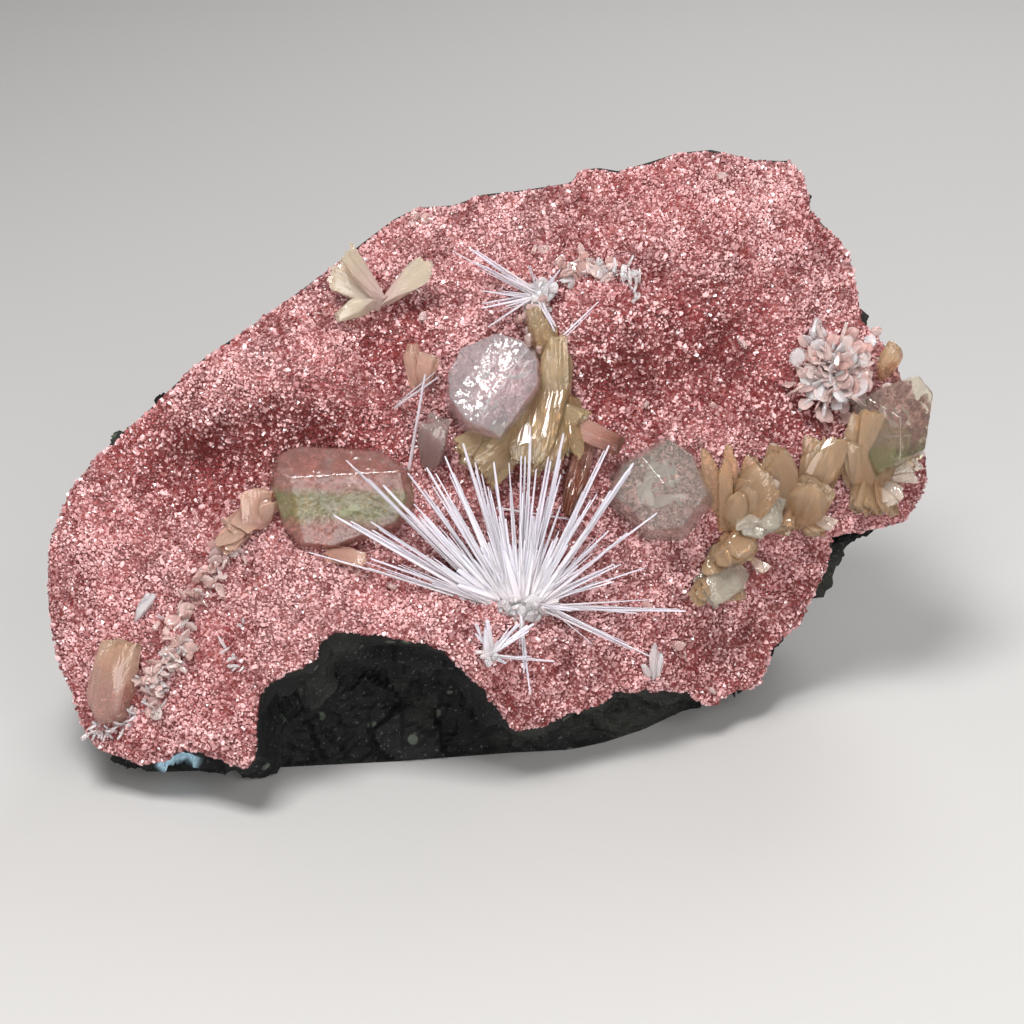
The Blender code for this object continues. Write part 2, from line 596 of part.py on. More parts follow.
def rosette(cutters):
    """Plates that stand around one centre and cross each other."""
    shapes = []
    for number in range(ROSETTE_PLATES):
        turn = math.tau * number / ROSETTE_PLATES
        lean = ROSETTE_LEANS[number % len(ROSETTE_LEANS)]
        reach, rise = ROSETTE_REACH * lean, ROSETTE_HEIGHT * (ROSETTE_UPRIGHT - ROSETTE_FALL * lean)
        way = np.array([math.cos(turn), math.sin(turn)])
        root = over_crust((*(ROSETTE_AT - ROSETTE_ROOTS * way), 0.0))
        tip = root + np.array([*(reach * way), rise])
        shapes.append(blade(root, tip, *ROSETTE_PLATE))
    return grown_together("stilbite_rosette", shapes, "pale_stilbite", cutters)


def pale_string(name, places, cutters):
    """String of small crystals: plates lying from place to place, some with an upright one."""
    shapes = []
    for number, (here, after) in enumerate(zip(places, places[1:])):
        low, high = over_crust((*here, PALE_HEIGHT)), over_crust((*after, PALE_HEIGHT))
        shapes.append(blade(low, high + PALE_LAP * (high - low), PALE_WIDTH, PALE_THICK))
        if number % 2 == 0:
            turn = PALE_TURN * number / 2
            tip = high + PALE_LONG * np.array([math.cos(turn) * 0.6, math.sin(turn) * 0.6, 0.8])
            shapes.append(blade(high, tip, PALE_UPRIGHT_WIDTH, PALE_UPRIGHT_THICK))
    return grown_together(name, shapes, "pale_stilbite", cutters)


def main():
    for thing in list(bpy.data.objects):
        bpy.data.objects.remove(thing)
    rng = np.random.default_rng(7)
    pieces = [matrix(rng), crust(rng)]
    clearance = clearance_body()

    rooms = []
    for name, sizes in BLOCKS.items():
        pieces.append(grown_together(name, [block(*sizes)], "apophyllite", [clearance]))
        rooms.append(hidden(solid(name + "_room", *on_specimen(block(*sizes, GAP)), "basalt")))

    for name, blades in STILBITE.items():
        shapes = [blade_over_crust(*entry) for entry in blades]
        pieces.append(grown_together(name, shapes, "stilbite", [clearance] + rooms))
    pieces.append(rosette([clearance] + rooms))
    for name, places in PALE_STRINGS.items():
        pieces.append(pale_string(name, places, [clearance]))

    bursts = [(FAN_ROOT, FAN_TIPS), (LOW_SPRAY_ROOT, LOW_SPRAY_TIPS)]
    pieces.append(spray("scolecite_spray_main", bursts, FAN_ROOT_SIZE, [clearance]))
    pieces.append(spray("scolecite_spray_upper", [(UPPER_ROOT, UPPER_TIPS)], UPPER_ROOT_SIZE, [clearance]))
    for name, (root, tip, thick) in LONE_NEEDLES.items():
        needle = prism(over_crust(root), over_crust(tip), thick, thick * NEEDLE_FLATNESS)
        pieces.append(grown_together(name, [needle], "scolecite", [clearance]))

    for cutter in rooms + [clearance]:
        bpy.data.objects.remove(cutter)

    corners = np.concatenate([
        np.array([vertex.co[:] for vertex in piece.data.vertices]) for piece in pieces
    ])
    low, high = corners.min(axis=0), corners.max(axis=0)
    shift = Vector(((low[0] + high[0]) / 2, (low[1] + high[1]) / 2, low[2]))
    for piece in pieces:
        for vertex in piece.data.vertices:
            vertex.co -= shift
        piece.data.update()


main()
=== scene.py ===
"""Scolecite specimen, dressed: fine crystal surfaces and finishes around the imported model."""

import itertools
import math

import bpy
import numpy as np
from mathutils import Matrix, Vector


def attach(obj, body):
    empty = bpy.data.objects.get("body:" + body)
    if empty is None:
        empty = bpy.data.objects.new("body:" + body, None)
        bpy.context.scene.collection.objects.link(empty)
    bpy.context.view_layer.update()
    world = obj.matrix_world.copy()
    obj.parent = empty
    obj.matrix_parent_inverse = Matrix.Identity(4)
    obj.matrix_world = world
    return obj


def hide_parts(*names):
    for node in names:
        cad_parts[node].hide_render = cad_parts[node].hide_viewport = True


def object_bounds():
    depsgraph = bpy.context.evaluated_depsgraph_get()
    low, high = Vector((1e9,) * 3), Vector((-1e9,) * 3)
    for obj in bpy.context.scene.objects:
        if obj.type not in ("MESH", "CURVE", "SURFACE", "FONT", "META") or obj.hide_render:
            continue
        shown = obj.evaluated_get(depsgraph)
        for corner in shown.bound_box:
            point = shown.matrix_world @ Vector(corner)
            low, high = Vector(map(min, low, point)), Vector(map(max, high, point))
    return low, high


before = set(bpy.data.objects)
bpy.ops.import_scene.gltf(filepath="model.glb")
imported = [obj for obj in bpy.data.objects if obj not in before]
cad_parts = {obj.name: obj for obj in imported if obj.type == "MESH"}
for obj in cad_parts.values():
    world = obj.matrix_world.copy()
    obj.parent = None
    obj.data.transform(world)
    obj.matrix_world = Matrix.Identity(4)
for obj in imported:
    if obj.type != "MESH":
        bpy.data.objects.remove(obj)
cad_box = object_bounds()

# The ground of the crust. The crust is a druse of pink heulandite, a zeolite, grown as one skin
# about 2 mm thick over the leaning face of the rock. Its ground is the solid part of that skin,
# which shows between the grains and pale where it is broken at the rim. Its colour is a dark red,
# darker than the grains: painted shade in the gaps between them.

# Sizes are in millimetres. Places on the face are u to the right, v up the leaning face and w out
# of it, from an origin at the foot of the face. The crown is the broad swelling of the whole face.
MM = 0.001
FACE_LEAN = math.radians(30)
FACE_ORIGIN = np.array([2.9, -37.616, 0.0])
CROWN_HEIGHT, CROWN_TURN, CROWN_ACROSS, CROWN_UP, CROWN_MID_V = 2.8, -0.108, 200.0, 217.0, 55.0
CRUST_THICK = 2.2

# Swellings and hollows of the face: u, v, height, half width across, half width up
FACE_FORMS = [
    (-35, 18, 9, 28, 14), (-9, 28, 4, 12, 7), (5, 13, -7, 12, 9), (48, 24, -17, 17, 17),
    (-42, 14, 2, 5, 5), (-42, 60, -5.5, 26, 6), (12, 54, -3, 14, 8), (-40, 74, 4.5, 20, 7),
    (18, 85, 6, 7, 7), (20, 73, -6, 8, 5), (-20, 79, -4, 4, 6), (-53, 58, -4, 6, 4.5),
    (51, 69, -3, 6, 5), (37, 78, -4, 8, 5), (33, 97, 4, 12, 8),
]

# Upper and lower edge of the face, from left to right: u, v
TOP_EDGE = [
    (-78.5, 42), (-78, 47), (-75, 55.5), (-71, 61), (-64, 66.5), (-59, 70.5), (-52, 76.5),
    (-45, 81.5), (-38, 87), (-31, 92.5), (-25, 97.5), (-20, 101.5), (-16, 103.5), (-10, 104),
    (-5, 106), (2, 107), (10, 108.5), (12, 111), (15, 111.5), (18.5, 111), (24, 113), (29, 115),
    (35, 116), (43, 114.5), (49, 115), (51, 113), (52.2, 106), (55, 103), (59, 99), (60.2, 92),
    (61, 86.5), (64, 83.5), (66.5, 80), (69.5, 73), (72, 63.5), (72.7, 60),
]
LOW_EDGE = [
    (-78.5, 42), (-78, 35), (-76, 26.5), (-73.7, 22), (-72, 16.5), (-70.5, 13.5), (-67.5, 11.5),
    (-61.5, 9.3), (-57, 10.8), (-54, 12.3), (-49.8, 11.3), (-44, 9), (-42, 11), (-41.2, 21),
    (-40, 23), (-32.5, 26.5), (-31, 30.5), (-28.8, 31.2), (-19, 30.5), (-14.5, 29.5), (-11, 28),
    (-8, 25), (-4.6, 22), (-2.2, 18.8), (-0.3, 16), (1, 15.5), (5.7, 16.3), (10.6, 18.5),
    (15.5, 20), (17.4, 22), (23, 22.3), (30, 22), (32.5, 20.5), (35, 20), (38.5, 22),
    (43.8, 23.5), (45.8, 30.5), (50.6, 34), (53, 40), (54.8, 44), (55.5, 49), (63.3, 50.4),
    (68.8, 51.8), (71.4, 56.3), (72.7, 60),
]


def on_face(u, v, w):
    """Points of the row frame, in millimetres: u stays, and v and w are turned back by the lean."""
    u, v, w = np.broadcast_arrays(np.asarray(u, float), np.asarray(v, float), np.asarray(w, float))
    back = v * math.sin(FACE_LEAN) - w * math.cos(FACE_LEAN)
    up = v * math.cos(FACE_LEAN) + w * math.sin(FACE_LEAN)
    return np.stack([u, back, up], axis=-1) + FACE_ORIGIN


def relief(u, v):
    """Height of the face: a crown that falls with the square of u and v, plus bell-shaped forms."""
    height = CROWN_HEIGHT + CROWN_TURN * u - u ** 2 / (2 * CROWN_ACROSS)
    height = height - (v - CROWN_MID_V) ** 2 / (2 * CROWN_UP)
    for mid_u, mid_v, rise, wide, tall in FACE_FORMS:
        bell = ((u - mid_u) / wide) ** 2 + ((v - mid_v) / tall) ** 2
        height = height + rise * np.exp(-bell / 2)
    return height


def scattered(whole, salt):
    """Even random numbers, 0 to 1, for rows of three whole numbers: each is multiplied by its own
    large odd number, and the bits of the sum are folded together twice."""
    odd = np.array([73856093, 19349663, 83492791], np.uint32)
    bits = (whole.astype(np.int64).astype(np.uint32) * odd).sum(-1, dtype=np.uint32)
    bits = bits + np.uint32(salt * 668265263 % 2 ** 32)
    bits = (bits ^ (bits >> np.uint32(15))) * np.uint32(2246822519)
    bits = (bits ^ (bits >> np.uint32(13))) * np.uint32(3266489917)
    return (bits ^ (bits >> np.uint32(16))) / 2 ** 32


def cloudy(points, size, salt):
    """Smooth random field, -1 to 1: numbers scattered on the corners of cubes of the given size,
    blended along each axis by 3 t squared minus 2 t cubed."""
    scaled = points / size
    base = np.floor(scaled)
    share = scaled - base
    share = share * share * (3 - 2 * share)
    total = 0.0
    for corner in itertools.product((0, 1), repeat=3):
        corner = np.array(corner)
        weight = np.prod(np.where(corner, share, 1 - share), axis=-1)
        total = total + weight * scattered(base + corner, salt)
    return total * 2 - 1


def flat_points(u, v):
    """u and v as points of a flat sheet, for a random field."""
    return np.stack([u, v, np.zeros_like(u)], axis=-1)


def knobs(u, v):
    """Small lumps of the crust, 3.1 and 1.6 mm across."""
    sheet = flat_points(u, v)
    return 0.5 * cloudy(sheet, 3.1, 12) + 0.3 * cloudy(sheet, 1.6, 13)


def skin_height(u, v):
    """Height of the crust: the relief with lumps of 7 mm and with knobs on it."""
    return relief(u, v) + 0.55 * cloudy(flat_points(u, v), 7.0, 11) + knobs(u, v)


def read_off(table, places):
    """Second number of a table at the given places."""
    table = np.array(table, float)
    return np.interp(places, table[:, 0], table[:, 1])


def edge_at(edge, places):
    """v of an edge at the given places, with small teeth of broken crystals that fade at its ends."""
    tooth = cloudy(flat_points(places, np.full_like(places, len(edge))), 1.6, 14)
    end = np.clip((places - edge[0][0]) * (edge[-1][0] - places) / 100, 0, 1)
    return read_off(edge, places) + 0.35 * tooth * end


def new_piece(name, points, faces, finish, replaced=(), marks=None, smooth=False):
    """A mesh that rides on the specimen, from points in millimetres and arrays of corner numbers.
    Its faces are turned over together if its volume, summed over fans of each face, is negative."""
    points = np.asarray(points, float).reshape(-1, 3) * MM
    faces = [np.asarray(group) for group in faces]
    volume = 0.0
    for group in faces:
        first = points[group[:, 0]]
        for corner in range(1, group.shape[1] - 1):
            cross = np.cross(points[group[:, corner]], points[group[:, corner + 1]])
            volume += (first * cross).sum()
    if volume < 0:
        faces = [group[:, ::-1] for group in faces]
    mesh = bpy.data.meshes.new(name)
    mesh.vertices.add(len(points))
    mesh.vertices.foreach_set("co", points.ravel())
    corners = np.concatenate([group.ravel() for group in faces])
    counts = np.concatenate([np.full(len(group), group.shape[1]) for group in faces])
    mesh.loops.add(len(corners))
    mesh.loops.foreach_set("vertex_index", corners)
    mesh.polygons.add(len(counts))
    mesh.polygons.foreach_set("loop_start", np.concatenate([[0], counts.cumsum()[:-1]]))
    mesh.polygons.foreach_set("use_smooth", np.full(len(counts), smooth))
    mesh.update(calc_edges=True)
    for mark, values in (marks or {}).items():
        layer = mesh.attributes.new(mark, "FLOAT", "POINT")
        layer.data.foreach_set("value", np.asarray(values, float).ravel())
    mesh.materials.append(finish.material)
    piece = bpy.data.objects.new(name, mesh)
    bpy.context.scene.collection.objects.link(piece)
    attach(piece, "root")
    if replaced:
        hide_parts(*replaced)
    return piece


def pigment(red, green, blue):
    """A colour given as on a paint card, 0 to 255, as the linear values that a shader takes."""
    card = np.array([red, green, blue]) / 255
    return tuple(np.where(card < 0.04045, card / 12.92, ((card + 0.055) / 1.055) ** 2.4).tolist())


class Wire:
    """A socket of one finish. Arithmetic on it adds the Math node that works out the sum."""

    def __init__(self, finish, socket):
        self.finish, self.socket = finish, socket

    def __add__(self, other):
        return self.finish.sum_of("ADD", self, other)

    def __sub__(self, other):
        return self.finish.sum_of("SUBTRACT", self, other)

    def __rsub__(self, other):
        return self.finish.sum_of("SUBTRACT", other, self)

    def __mul__(self, other):
        return self.finish.sum_of("MULTIPLY", self, other)


class Finish:
    """The nodes of one material, all read at the piece's own place in metres."""

    def __init__(self, name):
        self.material = bpy.data.materials.new(name)
        self.material.use_nodes = True
        self.material.node_tree.nodes.clear()
        self.place = self.node("ShaderNodeTexCoord", output="Object")

    def node(self, kind, settings=None, inputs=None, output=0):
        """Add a node: its settings first, then a value or a wire for each of its sockets."""
        made = self.material.node_tree.nodes.new(kind)
        for name, value in (settings or {}).items():
            setattr(made, name, value)
        for name, value in (inputs or {}).items():
            if isinstance(value, Wire):
                self.material.node_tree.links.new(value.socket, made.inputs[name])
            else:
                colour = isinstance(value, tuple) and made.inputs[name].type == "RGBA"
                made.inputs[name].default_value = (*value, 1) if colour else value
        return Wire(self, made.outputs[output]) if made.outputs else made

    def sum_of(self, operation, first, second):
        return self.node("ShaderNodeMath", {"operation": operation}, {0: first, 1: second})

    def mark(self, name):
        """A number kept at each point of the mesh."""
        return self.node("ShaderNodeAttribute", {"attribute_name": name}, output="Fac")

    def noise(self, size, detail=3.0, stretch=(1, 1, 1), rough=0.55):
        """Cloudy noise whose features are about the given size, in millimetres."""
        scale = tuple(1 / way for way in stretch)
        place = self.node("ShaderNodeMapping", None, {"Vector": self.place, "Scale": scale})
        sockets = {"Vector": place, "Scale": 1 / (size * MM), "Detail": detail, "Roughness": rough}
        return self.node("ShaderNodeTexNoise", None, sockets)

    def between(self, value, low, high):
        """0 below low, 1 above high, and a smooth rise between."""
        sockets = {"Value": value, "From Min": low, "From Max": high}
        return self.node("ShaderNodeMapRange", {"interpolation_type": "SMOOTHSTEP"}, sockets)

    def mix(self, share, first, second):
        """Two colours mixed by a share."""
        settings = {"data_type": "RGBA"}
        return self.node("ShaderNodeMix", settings, {0: share, 6: first, 7: second}, output=2)

    def near(self, middle, reach, softness=0.4):
        """1 at a place of the row frame, in millimetres, falling to 0 at its reach."""
        far = self.node("ShaderNodeVectorMath", {"operation": "DISTANCE"},
                        {0: self.place, 1: tuple(float(number) * MM for number in middle)}, output="Value")
        return 1 - self.between(far, reach * MM * softness, reach * MM)

    def bump(self, height, depth, onto=None):
        """Small relief of the given depth in millimetres."""
        sockets = {"Height": height, "Distance": depth * MM, "Strength": 1.0}
        if onto is not None:
            sockets["Normal"] = onto
        return self.node("ShaderNodeBump", None, sockets)

    def surface(self, inputs, density=0.0, tint=(1, 1, 1)):
        """The shader, with absorption inside it where a density per metre is given."""
        shader = self.node("ShaderNodeBsdfPrincipled", None, inputs)
        sockets = {"Surface": shader}
        if density:
            colour = {"Color": tint, "Density": density}
            sockets["Volume"] = self.node("ShaderNodeVolumeAbsorption", None, colour)
        self.node("ShaderNodeOutputMaterial", None, sockets)
        return self


def sheet_faces(columns, rows):
    """Quads of a closed sheet of points that is joined round along its rows."""
    here = np.arange(columns - 1)[:, None] * rows + np.arange(rows)[None, :]
    after = np.arange(columns - 1)[:, None] * rows + (np.arange(rows) + 1)[None, :] % rows
    return np.stack([here, here + rows, after + rows, after], axis=-1).reshape(-1, 4)


GROUND_COLUMNS, GROUND_ROWS, BACK_ROWS = 300, 150, 12
EDGE_ROLL, GROUND_SINK = 1.3, 0.3
ground_u = np.linspace(TOP_EDGE[0][0], TOP_EDGE[-1][0], GROUND_COLUMNS)
low_v, top_v = edge_at(LOW_EDGE, ground_u), edge_at(TOP_EDGE, ground_u)
low_v[[0, -1]] = top_v[[0, -1]]


def rolled(u, v, low, top):
    """How far the crust sinks at its rim: a quarter circle over the last EDGE_ROLL millimetres."""
    inward = np.minimum(np.minimum(v - low, top - v), np.minimum(u - ground_u[0], ground_u[-1] - u))
    left = 1 - np.clip(inward / EDGE_ROLL, 0, 1)
    return EDGE_ROLL * (1 - np.sqrt(np.clip(1 - left ** 2, 0, 1)))


# The front of the sheet has closer rows near its rim. The back is the plain relief, set back.
share = (1 - np.cos(np.linspace(0, np.pi, GROUND_ROWS))) / 2
share = 0.75 * np.linspace(0, 1, GROUND_ROWS) + 0.25 * share
front_v = low_v[:, None] + (top_v - low_v)[:, None] * share
front_u = np.repeat(ground_u[:, None], GROUND_ROWS, axis=1)
front_w = skin_height(front_u, front_v) - GROUND_SINK
front_w = front_w - rolled(front_u, front_v, low_v[:, None], top_v[:, None])
back_v = low_v[:, None] + (top_v - low_v)[:, None] * np.linspace(1, 0, BACK_ROWS)
back_u = np.repeat(ground_u[:, None], BACK_ROWS, axis=1)
back_w = relief(back_u, back_v) - CRUST_THICK
ground = np.concatenate([on_face(front_u, front_v, front_w), on_face(back_u, back_v, back_w)], axis=1)

ground_finish = Finish("heulandite_ground")
# The dark reds of the ground are painted shade between the grains
shade = ground_finish.between(ground_finish.noise(4.0, 4.0), 0.35, 0.7)
ground_finish.surface({
    "Base Color": ground_finish.mix(shade, pigment(84, 30, 27), pigment(132, 62, 57)),
    "Roughness": ground_finish.noise(0.8) * 0.3 + 0.35,
    "Normal": ground_finish.bump(ground_finish.noise(0.5, 4.0), 0.25),
})
new_piece("crust_ground", ground, [sheet_faces(GROUND_COLUMNS, GROUND_ROWS + BACK_ROWS)], ground_finish,
          ["heulandite_crust"], smooth=True)

# The druse. Heulandite crystals about half a millimetre to a millimetre long stand on the ground,
# glassy, pink to nearly white, and each turned its own way. Most are plain three-sided grains
# here, and a few hundred have the mineral's coffin-shaped outline.

GRAIN_STEP, GRAIN_LENGTH, GRAIN_LEAN = 0.41, 0.62, 0.5
GRAIN_LEFT, GRAIN_RIGHT = -78.3, 72.5
GRID_U, GRID_V = (-78.4, 72.6), (8.5, 116.5)
GRAIN_OUTLINE = [(-0.5, -0.42), (0.55, -0.12), (-0.2, 0.55)]
COFFIN_OUTLINE = [(-0.5, -0.2), (-0.12, -0.5), (0.5, -0.28), (0.5, 0.28), (-0.12, 0.5), (-0.5, 0.2)]


def unit(vectors):
    """Vectors brought to length 1."""
    return vectors / np.linalg.norm(vectors, axis=-1, keepdims=True)


def any_way(rng, *shape):
    """Directions that point any way, as many as the shape says."""
    return unit(rng.normal(0, 1, (*shape, 3)))


def upright(axes, spins):
    """Two directions square to each axis: the first is turned about the axis by the spin."""
    helper = np.where(np.abs(axes[:, :1]) < 0.8, [[1.0, 0, 0]], [[0, 1.0, 0]])
    first = unit(np.cross(axes, helper))
    second = np.cross(axes, first)
    turned = first * np.cos(spins)[:, None] + second * np.sin(spins)[:, None]
    return turned, np.cross(axes, turned)


def carried(roots, axes, spins, sizes, outline, levels, ragged=None):
    """Crystals that are an outline carried along an axis. At each level, given as its share of the
    length and its share of the outline, a corner is root + axis * length * far +
    across * width * x * wide + beside * depth * y * wide. Ragged scales each corner by itself."""
    outline, levels = np.array(outline, float), np.array(levels, float)
    across, beside = upright(axes, spins)
    count = len(roots)
    scale = levels[None, :, 1, None] * (1 if ragged is None else ragged[:, None, :])
    scale = np.broadcast_to(scale, (count, len(levels), len(outline)))
    x = sizes[:, 0, None, None] * outline[:, 0] * scale
    y = sizes[:, 1, None, None] * outline[:, 1] * scale
    z = sizes[:, 2, None, None] * levels[None, :, 0, None] * np.ones_like(x)
    points = roots[:, None, None] + x[..., None] * across[:, None, None]
    points = points + y[..., None] * beside[:, None, None] + z[..., None] * axes[:, None, None]
    return points


def tube_faces(count, levels, corners):
    """Side quads and flat end faces of many closed tubes that are stored one after another."""
    start = np.arange(count)[:, None, None] * levels * corners
    ring = np.arange(levels - 1)[None, :, None] * corners + start
    here, after = np.arange(corners), (np.arange(corners) + 1) % corners
    quads = np.stack([ring + here, ring + after, ring + after + corners, ring + here + corners], axis=-1)
    first = start[:, 0] + np.arange(corners)[::-1]
    last = start[:, 0] + (levels - 1) * corners + np.arange(corners)
    return [quads.reshape(-1, 4), np.concatenate([first, last])]


def add_crystals(name, points, finish, replaced=(), marks=None, smooth=False):
    """A piece made of many closed tubes of points: crystal, level, corner."""
    count, levels, corners = points.shape[:3]
    faces = tube_faces(count, levels, corners)
    kept = {}
    for mark, values in (marks or {}).items():
        values = np.asarray(values, float)
        values = values.reshape(values.shape + (1,) * (3 - values.ndim))
        kept[mark] = np.broadcast_to(values, points.shape[:3])
    return new_piece(name, points, faces, finish, replaced, kept, smooth)


def face_normal(u, v, step=0.4):
    """Direction out of the crust, from the slopes of its height over a small step in u and v."""
    slope_u = (skin_height(u + step, v) - skin_height(u - step, v)) / (2 * step)
    slope_v = (skin_height(u, v + step) - skin_height(u, v - step)) / (2 * step)
    return unit(on_face(-slope_u, -slope_v, np.ones_like(u)) - FACE_ORIGIN)


rng = np.random.default_rng(21)
u, v = np.meshgrid(np.arange(*GRID_U, GRAIN_STEP), np.arange(*GRID_V, GRAIN_STEP))
u = (u + rng.uniform(-0.5, 0.5, u.shape) * GRAIN_STEP).ravel()
v = (v + rng.uniform(-0.5, 0.5, v.shape) * GRAIN_STEP).ravel()
low, top = edge_at(LOW_EDGE, u), edge_at(TOP_EDGE, u)
inside = (v > low + 0.1) & (v < top - 0.1) & (u > GRAIN_LEFT) & (u < GRAIN_RIGHT)
u, v, low, top = u[inside], v[inside], low[inside], top[inside]
normal = face_normal(u, v)
sunk = rolled(u, v, low, top)
edge_way = np.where((v - low < top - v)[:, None], on_face(0, -1, 0), on_face(0, 1, 0)) - FACE_ORIGIN
normal = unit(normal + edge_way * (sunk / EDGE_ROLL)[:, None] * 1.4)
axes = unit(normal + rng.normal(0, GRAIN_LEAN, normal.shape))
length = rng.lognormal(math.log(GRAIN_LENGTH), 0.2, len(u))
sizes = np.stack([length, length * rng.uniform(0.7, 1.0, len(u)),
                  length * rng.uniform(0.6, 0.9, len(u))], axis=-1)
roots = on_face(u, v, skin_height(u, v) - GROUND_SINK - sunk) - normal * 0.1

# The tone of each grain, from deep red at 0 to pink at 0.86 and white at 1. It is random, and
# spreads wider in the hollows, so that darker grains paint the shade between them there. It is
# darker in the hollows and at the shade spots, which are given as u, v and reach, and lighter on
# the knobs: painted shade and painted light.
around_it = [relief(u + 5 * du, v + 5 * dv) for du, dv in ((1, 0), (-1, 0), (0, 1), (0, -1))]
sunken = np.clip(sum(around_it) / 4 - relief(u, v), -1, 1.5)
# Painted shade: places where the crust lies in shade, darkened in the grains' colour
SHADE_SPOTS = [(18, 84, 7), (20, 72, 7), (-33, 63, 8), (-53, 57, 8), (-18, 78, 5), (48, 71, 7), (33, 80, 8)]
shade_spots = sum(np.exp(-((u - mid_u) ** 2 + (v - mid_v) ** 2) / (2 * reach ** 2))
              for mid_u, mid_v, reach in SHADE_SPOTS)
in_hollow = np.clip(shade_spots + 0.7 * sunken, 0, 1)
# The wider spread of tone in the hollows paints shade between the grains
tone = 0.54 + (rng.beta(2.4, 2.4, len(u)) - 0.5) * (0.8 + 1.0 * in_hollow)
# Painted shade on the sunken grains, painted light on the grains that sit on knobs
tone = tone + 0.12 * cloudy(flat_points(u, v), 9.0, 31) - 0.12 * sunken + 0.3 * knobs(u, v)
# Painted shade at the shade spots
tone = tone - 0.27 * np.minimum(shade_spots, 1)
tone = np.where(rng.random(len(u)) < 0.012, 1.0, np.clip(tone, 0, 1) * 0.86)
grains = carried(roots, axes, rng.uniform(0, math.tau, len(u)), sizes, GRAIN_OUTLINE, [(0, 1), (1, 0.5)],
                 rng.uniform(0.75, 1.15, (len(u), 3)))

druse_finish = Finish("heulandite_grains")
grain_tone = druse_finish.mark("tone")
patch = druse_finish.between(druse_finish.noise(14.0, 3.0), 0.35, 0.7)
pale = druse_finish.mix(druse_finish.between(grain_tone, 0.9, 1.0),
                        pigment(228, 184, 184), pigment(250, 238, 238))
deep = druse_finish.mix(patch, pigment(102, 36, 37), pigment(140, 64, 64))
druse_finish.surface({
    "Base Color": druse_finish.mix(druse_finish.between(grain_tone, 0.1, 0.9), deep, pale),
    "Roughness": 0.36 - grain_tone * 0.26 + druse_finish.noise(0.3) * 0.1,
    "Normal": druse_finish.bump(druse_finish.noise(0.25, 2.0), 0.04),
    "IOR": 1.5,
})
# The grains are five pieces side by side, each between two places of u
druse_parts = {"left": (-90, -46), "mid_left": (-46, -12), "middle": (-12, 18), "mid_right": (18, 42),
               "right": (42, 90)}
for side, (first, last) in druse_parts.items():
    part = (u >= first) & (u < last)
    add_crystals(f"druse_{side}", grains[part], druse_finish, marks={"tone": tone[part]})

# Stouter six-sided tablets stand among the grains.
STOUT = 420
stout = rng.choice(len(u), STOUT, replace=False)
stout_axes = unit(normal[stout] + rng.normal(0, 0.6, (STOUT, 3)))
stout_length = rng.uniform(0.8, 1.25, STOUT)
stout_sizes = np.stack([stout_length, stout_length * 0.75, stout_length * rng.uniform(0.5, 0.9, STOUT)], -1)
stout_points = carried(roots[stout] - normal[stout] * 0.2, stout_axes, rng.uniform(0, math.tau, STOUT),
                       stout_sizes, COFFIN_OUTLINE, [(0, 1), (0.8, 1), (1, 0.72)])
add_crystals("druse_coffins", stout_points, druse_finish,
             marks={"tone": rng.uniform(0.35, 0.8, STOUT)})

# The rim of the crust, where it is broken off, has the same grains on its cut side.
RIM_GRAINS = 1900
rim_u = rng.uniform(GRAIN_LEFT, GRAIN_RIGHT, RIM_GRAINS)
upper = rng.random(RIM_GRAINS) < 0.5
rim_v = np.where(upper, edge_at(TOP_EDGE, rim_u) - 0.15, edge_at(LOW_EDGE, rim_u) + 0.15)
rim_out = np.where(upper[:, None], on_face(0, 1, 0), on_face(0, -1, 0)) - FACE_ORIGIN
rim_axes = unit(rim_out + rng.normal(0, 0.5, rim_out.shape))
rim_deep = rng.uniform(1.0, CRUST_THICK, RIM_GRAINS)
rim_roots = on_face(rim_u, rim_v, relief(rim_u, rim_v) - rim_deep) - rim_out * 0.3
rim_long = rng.uniform(0.6, 1.0, RIM_GRAINS)
rim_sizes = np.stack([rim_long, rim_long * 0.8, rim_long * 0.8], axis=-1)
rim_points = carried(rim_roots, rim_axes, rng.uniform(0, math.tau, RIM_GRAINS), rim_sizes, GRAIN_OUTLINE,
                     [(0, 1), (1, 0.7)])
add_crystals("druse_rim", rim_points, druse_finish,
             marks={"tone": rng.random(RIM_GRAINS) * 0.8})

# The rock: dark basalt, broken off the wall of a cavity. Its break is hackly, in flat chips from
# about 11 mm across down to 2 mm, with small mineral-filled bubbles and a thin weathered rind.

ROCK_COLUMNS, ROCK_ROWS, ROCK_GAP = 250, 40, 0.3
# Front and back edge of the underside as u and distance back from the foot of the face, and its
# height over the floor as u and height
BASE_FRONT = [
    (-78.5, 25), (-66, 16), (-45, 17.5), (-20, 20), (0, 23), (10, 24), (16, 26.5), (23, 31),
    (35, 42), (44, 48), (72.7, 50),
]
BASE_BACK = [(-78.5, 40), (-70, 50), (-55, 58), (-20, 67), (20, 71), (50, 69), (66, 62), (72.7, 55)]
BASE_HEIGHT = [
    (-78.5, 34), (-76, 19), (-72, 9), (-66, 3.5), (-60, 0), (40, 0), (46, 5), (52, 14), (58, 27),
    (66, 31), (72.7, 41),
]
# The ledge along the top edge, the hollow under the front, and how the back swells and narrows.
# The back's profile is given as shares of the distance back and of the height.
LEDGE_BACK, LEDGE_RISE = 1.3, 0.2
SCOOP_DEPTH, SCOOP_START, SCOOP_FULL = 9.0, 8.0, 28.0
BACK_SWELL, ROUND_END = 4.0, 16.0
BACK_PROFILE = [(0.35, 0.92), (0.8, 0.8), (1.0, 0.57), (0.99, 0.32), (0.95, 0.12)]
# Steps of the mesh between one line of the section and the next, from the top edge round the back
ROW_STEPS = [3, 26, 28, 24, 26, 20, 12, 52, 26, 26]
# Chips: their size, depth and seed. The first rows behind the crust are smooth.
CHIP_SIZES = [(11.0, 1.5, 41), (4.5, 0.75, 42), (1.9, 0.34, 43)]
SMOOTH_ROWS, ROUGHENING_ROWS, RESTING_HEIGHT = 3, 14, 0.05


